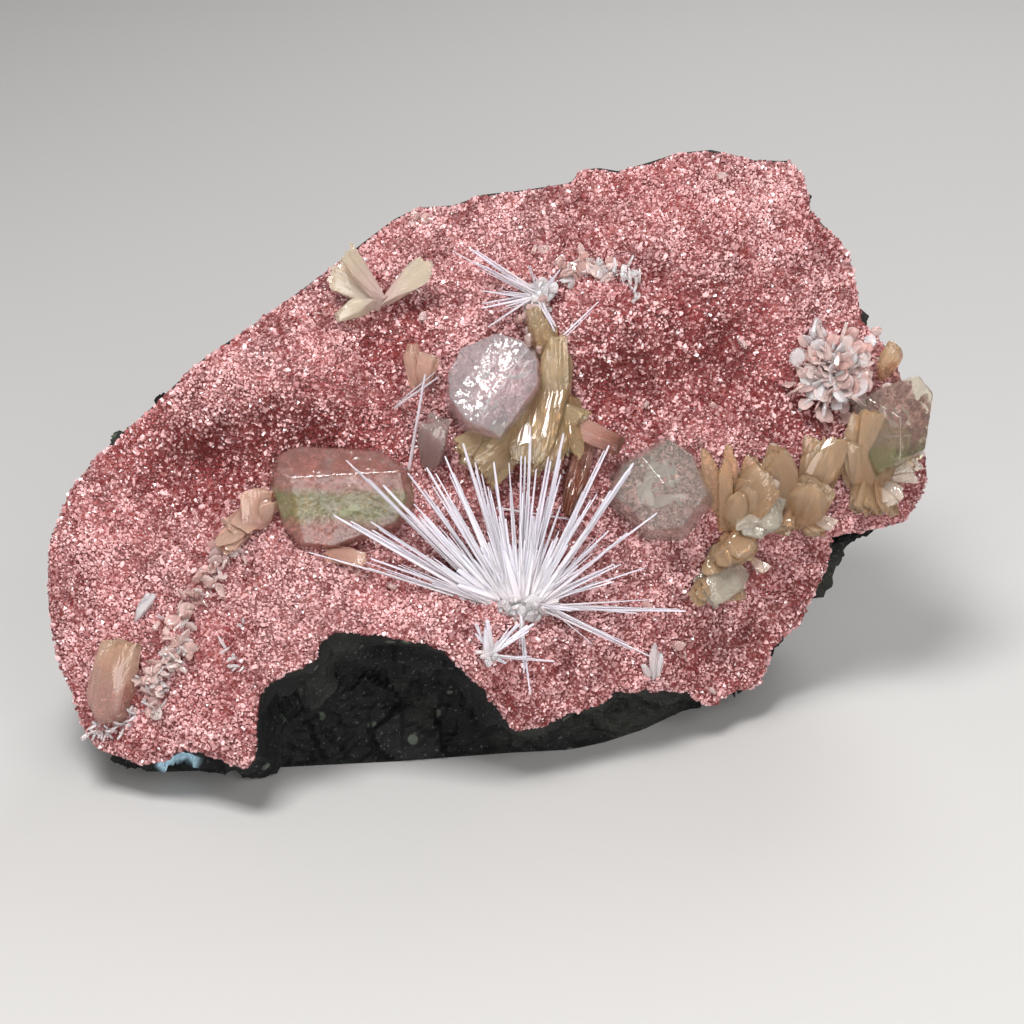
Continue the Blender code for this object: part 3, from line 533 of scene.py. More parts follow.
def chipped(points, size, salt):
    """Flat chips, about -1 to 1: a seed is scattered in each cube of the given size, and a point
    takes the tilted plane of the seed nearest to it: the seed's height plus tilt times distance."""
    scaled = points / size
    base = np.floor(scaled)
    nearest = np.full(points.shape[:-1], np.inf)
    height = np.zeros(points.shape[:-1])
    for step in itertools.product((-1, 0, 1), repeat=3):
        cell = base + np.array(step)
        way = scaled - cell - np.stack([scattered(cell, salt * 10 + axis) for axis in range(3)], axis=-1)
        far = (way ** 2).sum(-1)
        tilt = np.stack([scattered(cell, salt * 10 + 3 + axis) for axis in range(3)], axis=-1) * 2 - 1
        here = scattered(cell, salt * 10 + 6) * 2 - 1 + 1.4 * (way * tilt).sum(-1)
        closer = far < nearest
        nearest = np.where(closer, far, nearest)
        height = np.where(closer, here, height)
    return height


even = np.linspace(0, 1, ROCK_COLUMNS)
even = 0.3 * even + 0.7 * (1 - np.cos(math.pi * even)) / 2
rock_u = TOP_EDGE[0][0] + (TOP_EDGE[-1][0] - TOP_EDGE[0][0]) * even
rock_top, rock_low = read_off(TOP_EDGE, rock_u), read_off(LOW_EDGE, rock_u)
rock_v = rock_low[:, None] + (rock_top - rock_low)[:, None] * np.linspace(0, 1, ROCK_ROWS)
rock_front = on_face(rock_u[:, None], rock_v, relief(rock_u[:, None], rock_v) - CRUST_THICK - ROCK_GAP)
rock_front = rock_front - FACE_ORIGIN
low, top = rock_front[:, 0], rock_front[:, -1]
end = np.minimum(rock_u - rock_u[0], rock_u[-1] - rock_u)
fullness = np.sqrt(np.clip(1 - (1 - np.clip(end / ROUND_END, 0, 1)) ** 2, 0, 1))
base_front, base_back = read_off(BASE_FRONT, rock_u), read_off(BASE_BACK, rock_u)
floor = np.minimum(read_off(BASE_HEIGHT, rock_u), low[:, 2])
ledge = top[:, 1] + LEDGE_BACK
rows = [top, np.stack([rock_u, ledge, top[:, 2] + LEDGE_RISE], axis=-1)]
for way, share in BACK_PROFILE:
    back = np.maximum(top[:, 1] + (base_back + BACK_SWELL - top[:, 1]) * way, ledge)
    rows.append(np.stack([rock_u, back, floor + (top[:, 2] - floor) * share], axis=-1))
rows.append(np.stack([rock_u, base_back, floor], axis=-1))
rows.append(np.stack([rock_u, base_front, floor], axis=-1))
hollow = SCOOP_DEPTH * np.clip((low[:, 2] - SCOOP_START) / (SCOOP_FULL - SCOOP_START), 0, 1)
rows.append(np.stack([rock_u, (low[:, 1] + base_front) / 2 + hollow, (low[:, 2] + floor) / 2], axis=-1))
rows.append(low)
around = np.stack(rows, axis=1)
behind = rock_front[:, :, 1].max(axis=1)[:, None]
around[:, 1:-1, 1] = behind + (around[:, 1:-1, 1] - behind) * fullness[:, None]
shares = np.concatenate([step + np.arange(steps) / steps for step, steps in enumerate(ROW_STEPS)])
before = np.floor(shares).astype(int)
blend = (shares - before)[None, :, None]
rock_back = around[:, before] * (1 - blend) + around[:, before + 1] * blend
hull = np.concatenate([rock_front, rock_back[:, 1:]], axis=1) + FACE_ORIGIN
slope_u = np.gradient(hull, axis=0)
slope_s = np.roll(hull, -1, axis=1) - np.roll(hull, 1, axis=1)
outward = np.cross(slope_s, slope_u)
outward = outward / np.maximum(np.linalg.norm(outward, axis=-1, keepdims=True), 1e-9)

# The chips push the hull outward, but not next to the crust and not on the flat underside.
chips = sum(depth * chipped(hull, size, salt) for size, depth, salt in CHIP_SIZES)
steps_round = hull.shape[1]
from_crust = np.minimum(np.arange(steps_round) - (ROCK_ROWS - 1), steps_round - np.arange(steps_round))
free = np.clip((from_crust - SMOOTH_ROWS) / ROUGHENING_ROWS, 0, 1)[None, :] * fullness[:, None]
resting = hull[:, :, 2] < RESTING_HEIGHT
rough = np.where(resting, 0, chips * free)
hull = hull + outward * rough[..., None]
hull[:, :, 2] = np.where(resting, 0, np.maximum(hull[:, :, 2], 0.02 + 0.25 * np.abs(chips) * free))

rock_finish = Finish("basalt")
fine, coarse = rock_finish.noise(0.35, 4.0, rough=0.7), rock_finish.noise(5.0, 4.0)
fleck = rock_finish.between(rock_finish.noise(0.55, 1.0), 0.66, 0.72)
stone = rock_finish.mix(rock_finish.between(coarse, 0.35, 0.7), pigment(6, 6, 7), pigment(20, 21, 21))
stone = rock_finish.mix(fleck * 0.4, stone, pigment(96, 98, 96))
# Small bubbles filled with a grey-green mineral, a thin rind, and a light blue patch in the notch
# under the left rim
cell = rock_finish.node("ShaderNodeTexVoronoi", {"distance": "EUCLIDEAN"},
                        {"Vector": rock_finish.place, "Scale": 1 / (7.0 * MM), "Randomness": 1.0})
bubble = 1 - rock_finish.between(cell, 0.1, 0.15)
stone = rock_finish.mix(bubble * 0.7, stone, pigment(92, 100, 88))
rind = rock_finish.between(rock_finish.noise(18.0, 4.0), 0.52, 0.66)
stone = rock_finish.mix(rind * 0.3, stone, pigment(70, 70, 62))
blue_place = on_face(-56.1, 11.6, -6.1)
stone = rock_finish.mix(rock_finish.near(blue_place, 5.0, 0.7), stone, pigment(172, 204, 220))
rock_finish.surface({
    "Base Color": stone,
    "Roughness": 0.86 - fine * 0.3 - fleck * 0.25,
    "Specular IOR Level": 0.3,
    "Normal": rock_finish.bump(fine, 0.25, rock_finish.bump(rock_finish.noise(1.5, 5.0), 0.6)),
})
new_piece("rock", hull, [sheet_faces(ROCK_COLUMNS, steps_round)], rock_finish, ["basalt_matrix"])

# Scolecite. Each needle is a long glassy crystal under a millimetre thick, grooved along its length
# and cut off flat; the sprays grow from one root each, where the needles run together white.

# The root of each spray as u, v, w, and its bundles' tips as u, v, w and thickness
FAN_ROOT = (1.3, 36.0, 5.0)
FAN_TIPS = [
    (-33, 44, 12.5, 0.5), (-29, 50, 12.5, 0.9), (-27, 59, 13, 0.6), (-23, 43, 12, 0.5),
    (-23, 49, 12, 0.6), (-21, 55, 12.5, 0.7), (-17, 57, 12, 0.7), (-16, 52, 11, 0.5),
    (-14, 58, 11, 0.7), (-13, 55, 12, 0.6), (-11, 60, 10, 0.7), (-8, 62, 11, 0.9),
    (-5, 57, 11.5, 0.7), (-4, 55, 9.5, 0.6), (-3, 59, 10.5, 0.8), (-0.5, 59, 9.5, 0.6),
    (1.5, 60, 10.5, 0.8), (3, 65, 9, 0.7), (4, 58, 8.5, 0.6), (6, 60, 9, 0.8), (8, 57, 9.5, 0.6),
    (8, 52, 7.5, 0.5), (8.5, 64, 8, 0.9), (14, 54, 8, 0.7), (16, 62, 8, 0.7), (20, 59, 8.5, 0.9),
    (24, 51, 6, 0.6), (16, 48, 7, 0.6), (15, 44, 8.5, 0.5), (18, 42.5, 6, 0.6), (22, 42, 4.5, 0.5),
    (11, 35, 7.5, 0.5), (29, 35, 1, 0.6), (23, 27.5, 0.5, 0.5), (3, 21, 7, 0.6),
]
LOW_SPRAY_ROOT = (-3.8, 27.5, 8.4)
LOW_SPRAY_TIPS = [
    (-4, 33, 11.5, 1.6), (-6, 32.5, 11.5, 0.6), (3.6, 32.6, 7.6, 1.0), (1.2, 32.4, 8.6, 0.8),
    (-1, 26, 10, 0.5), (7, 26.5, 5.5, 0.5),
]
UPPER_ROOT = (4.5, 87.9, 2.4)
UPPER_TIPS = [
    (-7, 95, 7, 0.8), (-10, 95, 5, 0.5), (-5, 88, 6.5, 0.5), (-5, 85, 7, 0.6), (-4, 81.5, 9, 0.4),
    (7, 81, 8, 0.6), (8, 91.5, 7, 0.6), (3, 92, 7.5, 0.5),
]
NEEDLE_SIDES = 8
NEEDLE_TURNS = np.arange(NEEDLE_SIDES) * math.tau / NEEDLE_SIDES
NEEDLE_OUTLINE = [(math.cos(turn) / 2, math.sin(turn) / 2) for turn in NEEDLE_TURNS]
NEEDLE_LEVELS = [(0, 1), (0.3, 0.96), (0.65, 0.8), (0.98, 0.52), (1, 0.4)]


def turned(points):
    """Points u, v, w given in rows, as points of the row frame."""
    points = np.asarray(points, float)
    return on_face(points[..., 0], points[..., 1], points[..., 2])


def needles(rng, starts, tips, thick):
    """Needles from start to tip, in u, v, w: an eight-sided outline with uneven corners."""
    starts, tips, thick = turned(starts), turned(tips), np.asarray(thick, float)
    way = tips - starts
    long = np.linalg.norm(way, axis=-1)
    sizes = np.stack([thick, thick * 0.8, long], axis=-1)
    ragged = rng.uniform(0.72, 1.12, (len(thick), NEEDLE_SIDES))
    spins = rng.uniform(0, math.tau, len(thick))
    return carried(starts, way / long[:, None], spins, sizes, NEEDLE_OUTLINE, NEEDLE_LEVELS, ragged)


def burst(rng, root, tips, bundle, loose, spread, root_wide):
    """A spray. Each listed tip is a bundle of needles side by side that end at different lengths,
    and loose thin ones fill in. A needle starts beside the root, moved by a share of its reach."""
    tips = np.array(tips, float)
    # Kind 0 is the listed needles, kind 1 their bundles and kind 2 the loose ones
    pick = np.concatenate([np.arange(len(tips)), np.repeat(np.arange(len(tips)), bundle),
                           rng.integers(0, len(tips), loose)])
    kind = np.concatenate([np.zeros(len(tips)), np.ones(len(tips) * bundle), np.full(loose, 2)]).astype(int)
    count = len(pick)
    shift = rng.normal(0, 1, (count, 3)) * np.array([0, 0.45, spread])[kind][:, None]
    shorter = np.stack([np.ones(count), rng.uniform(0.55, 0.98, count), rng.uniform(0.4, 0.9, count)])
    ends = np.array(root) + (tips[pick, :3] + shift - root) * shorter[kind, np.arange(count)][:, None]
    reach = (tips[pick, :3] - root) * root_wide
    starts = np.array(root) + reach + rng.normal(0, 0.3, (count, 3))
    thick = tips[pick, 3] * np.array([1.1, 0.85, 0.6])[kind] * rng.uniform(0.75, 1.1, count)
    return needles(rng, starts, ends, thick)


CHUNK_PLANES, CHUNK_CRISP, CHUNK_FLAT = 13, 30, 0.62


def chunks(rng, roots, ways, faces, sizes, waist=1.0, grid=(12, 7), ridge=0.0):
    """Irregular crystals on a grid of two angles. In each one's own frame, with x along it, y across
    and z through it, the skin lies where the nearest of 13 scattered planes or of its two flat faces
    is met, joined by a soft minimum. Its sizes stretch it, and its width grows from the waist at the
    root to 1 at the tip. Ridges run along it: y and z grow by a field that hardly changes with x,
    and the tip is broken off in steps. Gives the points, and for the finish how far along and across
    each lies and a tone for each crystal. The plain grid gives a small crystal 74 faces."""
    turn = np.linspace(0, math.tau, grid[0], endpoint=False)[None, :]
    climb = np.linspace(0.02 - math.pi / 2, math.pi / 2 - 0.02, grid[1])[:, None]
    spread = np.stack([np.sin(climb) + 0 * turn, np.cos(climb) * np.cos(turn), np.cos(climb) * np.sin(turn)],
                      axis=-1)
    count = len(roots)
    flats = np.broadcast_to([[0, 0, 1.0], [0, 0, -1.0]], (count, 2, 3))
    planes = np.concatenate([any_way(rng, count, CHUNK_PLANES), flats], axis=1)
    far = rng.uniform(0.78, 1.0, (count, CHUNK_PLANES))
    far = np.concatenate([far, np.full((count, 2), CHUNK_FLAT)], axis=1)
    facing = np.maximum(np.einsum("rcx,npx->nrcp", spread, planes), 1e-6)
    inverse = facing / far[:, None, None, :]
    distance = (inverse ** CHUNK_CRISP).sum(-1) ** (-1 / CHUNK_CRISP)
    x, y, z = np.moveaxis(np.clip(spread * distance[..., None], -1.05, 1.05), -1, 0)
    side = unit(np.cross(faces, ways))
    face = np.cross(ways, side)
    if ridge:
        half = sizes[:, :, None, None] / 2
        own = rng.uniform(0, 900, count)[:, None, None]
        place = np.stack([own + 0.1 * x * half[:, 0], y * half[:, 1], 0.6 * z * half[:, 2]], axis=-1)
        lines = cloudy(place, 1.1, 61) + 0.5 * cloudy(place, 0.35, 62)
        broken = chipped(place, 1.3, 63) * np.clip(x, 0, 1)
        x = x + 0.6 * ridge * broken
        y, z = y * (1 + 0.6 * ridge * lines / half[:, 1]), z * (1 + ridge * lines / half[:, 2])
    wide = y * (waist + (1 - waist) * (x + 1) / 2) * sizes[:, 1, None, None] / 2
    deep = z / CHUNK_FLAT * sizes[:, 2, None, None] / 2
    long = (x + 1) * sizes[:, 0, None, None] / 2
    points = roots[:, None, None] + ways[:, None, None] * long[..., None]
    points = points + side[:, None, None] * wide[..., None] + face[:, None, None] * deep[..., None]
    return points, {"along": (x + 1) / 2, "across": y, "tone": rng.random(count)[:, None, None] + 0 * x}


def heap(rng, root, reach, count, long, wide, thick):
    """A root: stout crystals that lie every way over each other, in u, v, w."""
    ways = unit(rng.normal(0, 1, (count, 3)) * [1, 1, 0.7] + [0, 0, 0.35])
    starts = np.array(root) + rng.uniform(-0.5, 0.5, (count, 3)) * reach
    turned_ways = unit(turned(starts + ways) - turned(starts))
    sizes = np.array([long, wide, thick]) * rng.uniform(0.55, 1.1, (count, 3))
    return chunks(rng, turned(starts), turned_ways, any_way(rng, count), sizes, 0.8)


def add_chunks(name, groups, finish, replaced=()):
    """One piece from several groups of chunks."""
    points = np.concatenate([group[0] for group in groups])
    marks = {mark: np.concatenate([group[1][mark] for group in groups]) for mark in groups[0][1]}
    add_crystals(name, points, finish, replaced, marks)


needle_finish = Finish("scolecite")
along, tint = needle_finish.mark("along"), needle_finish.mark("tone")
silk = needle_finish.noise(0.5, 2.0)
needle_finish.surface({
    "Base Color": needle_finish.mix(needle_finish.between(along + tint * 0.3, 0.2, 1.1),
                                    pigment(240, 229, 233), pigment(233, 227, 239)),
    "Roughness": silk * 0.2 + 0.1,
    "Normal": needle_finish.bump(silk, 0.03),
    "Transmission Weight": 0.45,
    "IOR": 1.52,
    "Subsurface Weight": 0.5,
    "Subsurface Radius": (1.0, 0.9, 0.9),
    "Subsurface Scale": 0.8 * MM,
})
NEEDLE_ALONG = np.array(NEEDLE_LEVELS)[:, 0]


def add_needles(rng, name, groups, replaced):
    """One piece from several groups of needles, with how far along and a tone at each point."""
    points = np.concatenate(groups)
    marks = {"along": np.broadcast_to(NEEDLE_ALONG[None, :, None], points.shape[:3]),
             "tone": rng.random(len(points))}
    add_crystals(name, points, needle_finish, replaced, marks)


# Short thick stubs at the root of the fan point at its first tips and end at a share of the way.
rng = np.random.default_rng(22)
STUBS, STUB_REACH, STUB_THICK = 31, 0.42, 1.3
stub_ends = np.array(FAN_ROOT) + (np.array(FAN_TIPS)[:STUBS, :3] - FAN_ROOT) * STUB_REACH
main_groups = [
    burst(rng, FAN_ROOT, FAN_TIPS, 4, 40, 1.3, [0.18, 0.03, 0.02]),
    burst(rng, FAN_ROOT, np.column_stack([stub_ends, np.full(STUBS, STUB_THICK)]), 1, 20, 0.8,
          [0.3, 0.08, 0.04]),
    burst(rng, LOW_SPRAY_ROOT, LOW_SPRAY_TIPS, 3, 6, 0.8, [0.04, 0.04, 0.04]),
]
add_needles(rng, "scolecite_fan", main_groups, ["scolecite_spray_main"])
upper_groups = [burst(rng, UPPER_ROOT, UPPER_TIPS, 2, 5, 0.8, [0.04, 0.04, 0.04])]
add_needles(rng, "scolecite_upper", upper_groups, ["scolecite_spray_upper"])

root_finish = Finish("scolecite_root")
milk = root_finish.noise(1.2, 3.0)
# The faint pink of these colours is painted light: the crust seen through the white crystals
root_finish.surface({
    "Base Color": root_finish.mix(root_finish.mark("tone"), pigment(244, 226, 226), pigment(252, 244, 246)),
    "Roughness": milk * 0.3 + 0.02,
    "Normal": root_finish.bump(milk, 0.04),
    "Transmission Weight": 0.55,
    "IOR": 1.52,
    "Subsurface Weight": 0.7,
    "Subsurface Radius": (1.0, 0.85, 0.85),
    "Subsurface Scale": 1.5 * MM,
})
add_chunks("scolecite_roots", [
    heap(rng, (1.2, 35.6, 3.4), [8, 3, 1.0], 30, 3.4, 2.8, 2.4),
    heap(rng, (1.4, 36.2, 4.8), [9, 4, 2.0], 60, 2.6, 1.3, 1.0),
    heap(rng, LOW_SPRAY_ROOT, [2.0, 2.0, 0.8], 14, 2.2, 1.2, 1.0),
], root_finish, ["scolecite_spray_main"])
add_chunks("scolecite_upper_root", [heap(rng, UPPER_ROOT, [2.6, 4.0, 1.2], 20, 2.8, 2.0, 1.6)],
           root_finish, ["scolecite_spray_upper"])

# Single needles: root u, v, height over the crust; tip u, v, height; thickness
LONE_NEEDLES = {
    "scolecite_needle_left": [((-17.7, 56.4, -1.5), (-14.2, 73.0, 9.5), 0.7)],
    "scolecite_needle_crossed": [
        ((-20.5, 68.4, -1.5), (-12.2, 72.6, 8.5), 0.6), ((-20.0, 69.0, -1.5), (-12.6, 73.6, 8.0), 0.35),
    ],
    "needle_loose_middle": [((-2.6, 52.2, 1.2), (12, 50, 3.4), 0.5)],
    "needle_loose_upper": [
        ((5, 77.6, 2.2), (14.4, 86.2, 2.4), 0.5), ((5.6, 77.4, 2.2), (13.2, 84.6, 2.4), 0.35),
    ],
}
# Stout white prisms: root u, v, height; tip; width and thickness
PRISM_GRID, PRISM_RIDGE = (32, 17), 0.12
PRISMS = {
    "scolecite_prism_left": [
        ((-62.6, 33.6, 0), (-59.0, 37.8, 2.8), 1.9, 1.4), ((-62.4, 34.2, 0), (-59.8, 37.6, 2.6), 1.3, 1.2),
    ],
    "scolecite_prism_right": [
        ((24, 24.2, 0), (24, 30.0, 3.2), 1.6, 1.2), ((24.6, 24, 0), (25.2, 28, 2.6), 1.1, 1.0),
        ((23.4, 24, 0), (22.4, 26.4, 2.2), 1.2, 1.0),
    ],
}


def over_crust(points):
    """Points whose third number is height over the crust, with that number turned into w."""
    points = np.array(points, float)
    points[..., 2] += relief(points[..., 0], points[..., 1])
    return points


for name, entries in LONE_NEEDLES.items():
    roots, tips, thick = (list(part) for part in zip(*entries))
    shaft = needles(rng, over_crust(roots), over_crust(tips), thick)
    add_needles(rng, name + "_fine", [shaft], [name] if name.startswith("scolecite") else [])
for name, entries in PRISMS.items():
    roots, tips = (turned(over_crust([entry[end] for entry in entries])) for end in (0, 1))
    long = np.linalg.norm(tips - roots, axis=-1)
    prism_sizes = np.column_stack([long, [entry[2:] for entry in entries]])
    way = (tips - roots) / long[:, None]
    prism = chunks(rng, roots, way, any_way(rng, len(roots)), prism_sizes, 1.0, PRISM_GRID, PRISM_RIDGE)
    add_chunks(name + "_fine", [prism], root_finish, [name])

# Apophyllite: four blocky glassy crystals, each bounded by flat faces. They are clear, one with a
# green zone, with square steps and pits on top, growth lines on the sides, and veils inside.

CLEAR_OUTLINE = [
    (-8.5, 78.3), (-2.5, 80.7), (2, 79.3), (4.5, 76.3), (4.4, 72), (-1.8, 62.8), (-7.8, 65.3),
    (-10.7, 69.4), (-10.6, 74),
]
GREEN_OUTLINE = [
    (-38.9, 60.8), (-35.5, 62.3), (-22.2, 61.6), (-17.5, 58.6), (-16.5, 52.8), (-18.6, 48.6),
    (-29.4, 44.8), (-35.1, 45.3), (-38, 48.6), (-39.9, 55),
]
GREY_OUTLINE = [
    (18.2, 59.6), (26.3, 64.1), (30.6, 61.1), (33, 54.5), (28.5, 48.6), (23, 48.2), (16.3, 54.2),
]
RIGHT_OUTLINE = [
    (58.9, 71), (63.5, 74), (69.8, 76.1), (72.3, 72.8), (70.8, 63.2), (67.5, 61.3), (62.5, 59),
    (60, 64),
]
BLOCK_ROUND, BLOCK_ROWS, EDGE_CRISP = 240, 120, 130


def block_points(outline, top, deep, side_lean, top_faces, step_depth, salt):
    """A crystal on a grid of two angles round its middle. In each direction its skin lies where the
    nearest of its face planes is met, with the planes joined by a soft minimum of power EDGE_CRISP.
    A side plane stands on each edge of the outline and leans in by side_lean; a top plane is given
    by its slopes in u and v and its height over the middle. The steps on the top are flat chips 3.2
    and 1.2 mm across with a fine ripple, and growth lines run down the sides."""
    corners = np.array(outline, float)
    middle = corners.mean(axis=0)
    base = float(relief(*middle)) - deep
    centre = np.array([*middle, (base + top) / 2])
    edges = np.roll(corners, -1, axis=0) - corners
    outward = np.stack([edges[:, 1], -edges[:, 0]], axis=-1)
    outward = outward * np.sign((outward * (corners - middle)).sum(-1, keepdims=True))
    sides = unit(np.column_stack([unit(outward), np.full(len(corners), side_lean)]))
    side_far = (sides * (np.column_stack([corners, np.full(len(corners), base + 0.7 * (top - base))])
                         - centre)).sum(-1)
    tops = np.array([(-slope_u, -slope_v, 1) for slope_u, slope_v, rise in top_faces], float)
    top_far = np.array([top + rise - centre[2] for slope_u, slope_v, rise in top_faces])
    top_far = top_far / np.linalg.norm(tops, axis=1)
    planes = np.concatenate([sides, unit(tops), [[0, 0, -1]]])
    far = np.concatenate([side_far, top_far, [centre[2] - base]])
    turn = np.linspace(0, math.tau, BLOCK_ROUND, endpoint=False)[None, :]
    climb = np.linspace(-math.pi / 2 + 0.01, math.pi / 2 - 0.01, BLOCK_ROWS)[:, None]
    way = np.stack([np.cos(climb) * np.cos(turn), np.cos(climb) * np.sin(turn),
                    np.sin(climb) * np.ones_like(turn)], axis=-1)
    facing = np.maximum(way @ planes.T, 1e-6)
    inverse = facing / far
    distance = (inverse ** EDGE_CRISP).sum(-1) ** (-1 / EDGE_CRISP)
    points = centre + way * distance[..., None]
    nearest = inverse.argmax(-1)
    on_top = (nearest >= len(sides)) & (nearest < len(planes) - 1)
    steps = 0.55 * chipped(points * [1, 1, 0.3], 3.2, salt) + 0.32 * chipped(points * [1, 1, 0.3], 1.2, salt)
    steps = steps + 0.16 * cloudy(points, 0.7, salt + 1)
    points[..., 2] += np.where(on_top, steps * step_depth, 0)
    lines = cloudy(points * [1, 1, 0.06], 0.55, salt + 2) * 0.1
    points = points + np.where(on_top, 0, lines)[..., None] * way * [1, 1, 0]
    return points


# Outline, top and depth, lean of the sides, top planes, depth of the steps, and seed
BLOCKS = {
    "apophyllite_clear": (CLEAR_OUTLINE, 10.8, 7.0, 0.1,
                          [(0.1, -0.16, 0.3), (-0.5, 0.25, 2.0), (0.6, -0.5, 2.2)], 0.26, 51),
    "apophyllite_green": (GREEN_OUTLINE, 8.0, 8.0, 0.16,
                          [(0.0, 0.1, 0.3), (0.04, -0.62, 2.6), (0.45, 0.2, 3.4)], 0.14, 53),
    "apophyllite_grey": (GREY_OUTLINE, 4.6, 7.0, 0.2,
                         [(0.5, -0.1, 0.9), (-0.5, 0.35, 0.9), (-0.15, -0.6, 1.1), (0.2, 0.6, 1.2)],
                         0.06, 55),
    "apophyllite_right": (RIGHT_OUTLINE, -7.0, 1.6, 0.12,
                          [(0.6, 0.12, 1.2), (-0.6, 0.1, 1.6), (0.1, -0.6, 1.8)], 0.1, 57),
}
# Colour, colour of the zone and its lowest and highest level, frost, clearness, tint of the
# absorption, sheen and ripple
BLOCK_LOOKS = {
    "apophyllite_clear": ((252, 250, 252), (252, 250, 252), 0, 200, 0.02, 0.86, (0.95, 0.93, 0.95),
                          0.6, 0.07),
    # The green crystal's pink colour outside its zone is painted light: the crust seen through it
    "apophyllite_green": ((214, 160, 148), (172, 182, 128), 45.5, 50.5, 0.12, 0.84, (0.9, 0.88, 0.78),
                          0.2, 0.06),
    "apophyllite_grey": ((242, 230, 220), (238, 238, 226), 0, 200, 0.0, 0.9, (0.88, 0.88, 0.75),
                         0.5, 0.03),
    "apophyllite_right": ((236, 222, 206), (208, 216, 172), 42, 50, -0.02, 0.93, (0.85, 0.9, 0.7),
                          0.4, 0.05),
}
ABSORPTION = 22.0


def apophyllite_finish(name, body, zone, low, high, frost, clear, tint, sheen, ripple):
    """Glassy crystal with a zone of colour between two heights of the row frame, a frosted skin of
    some sheen and ripple, and absorption inside it."""
    finish = Finish(name)
    up = finish.node("ShaderNodeSeparateXYZ", None, {0: finish.place}, output="Z")
    wavy = up + (finish.noise(5.0) - 0.5) * 0.003
    band = finish.between(wavy, low * MM, (low + 2.5) * MM)
    band = band * (1 - finish.between(wavy, high * MM, (high + 2) * MM))
    cloud = finish.between(finish.noise(3.0, 4.0), 0.45, 0.75)
    zoned = finish.mix(band, pigment(*body), pigment(*zone))
    colour = finish.mix(cloud * 0.3, zoned, pigment(246, 244, 244))
    return finish.surface({
        "Base Color": colour,
        "Roughness": finish.noise(1.2, 4.0) * 0.12 + frost,
        "Normal": finish.bump(finish.noise(0.6, 4.0), ripple),
        "Transmission Weight": clear,
        "IOR": 1.535,
        "Specular IOR Level": sheen,
    }, ABSORPTION, tint)


veil_finish = Finish("apophyllite_veil")
veil_cloud = veil_finish.noise(1.0, 3.0)
veil_finish.surface({
    "Base Color": veil_finish.mix(veil_cloud, pigment(226, 206, 200), pigment(250, 246, 246)),
    "Roughness": veil_finish.noise(2.0, 3.0) * 0.2 + 0.02,
    "Transmission Weight": 0.6,
    "IOR": 1.3,
})
# Cracks inside a block: its middle as u, v, w, their reach, and how many
VEILS = {
    "apophyllite_clear": ((-3, 72, 7), (5, 5, 2), 5),
    "apophyllite_green": ((-28, 53.5, 2.6), (8, 5, 2), 6),
    "apophyllite_grey": ((24.5, 56, 1.5), (6, 5, 2), 26),
    "apophyllite_right": ((65.5, 67, -9), (4, 5, 2), 12),
}
rng = np.random.default_rng(25)
for name, form in BLOCKS.items():
    points = turned(block_points(*form))
    block_finish = apophyllite_finish(name, *BLOCK_LOOKS[name])
    add_crystals(name + "_crystal", points[None], block_finish, [name], smooth=True)
    middle, reach, count = VEILS[name]
    spots = turned(np.array(middle) + rng.uniform(-0.6, 0.6, (count, 3)) * reach)
    crack_sizes = np.stack([rng.uniform(1.5, 4.5, count), rng.uniform(0.6, 2, count),
                            np.full(count, 0.08)], axis=-1)
    ways = any_way(rng, count)
    cracks = chunks(rng, spots - ways * 1.5, ways, any_way(rng, count), crack_sizes)
    add_chunks(name + "_veils", [cracks], veil_finish)

# Stilbite: blades that spread from a narrow waist, tan to yellow-green, see-through at their edges
# and lined from root to tip, grown side by side into sheaves, a chain of them and single tablets.

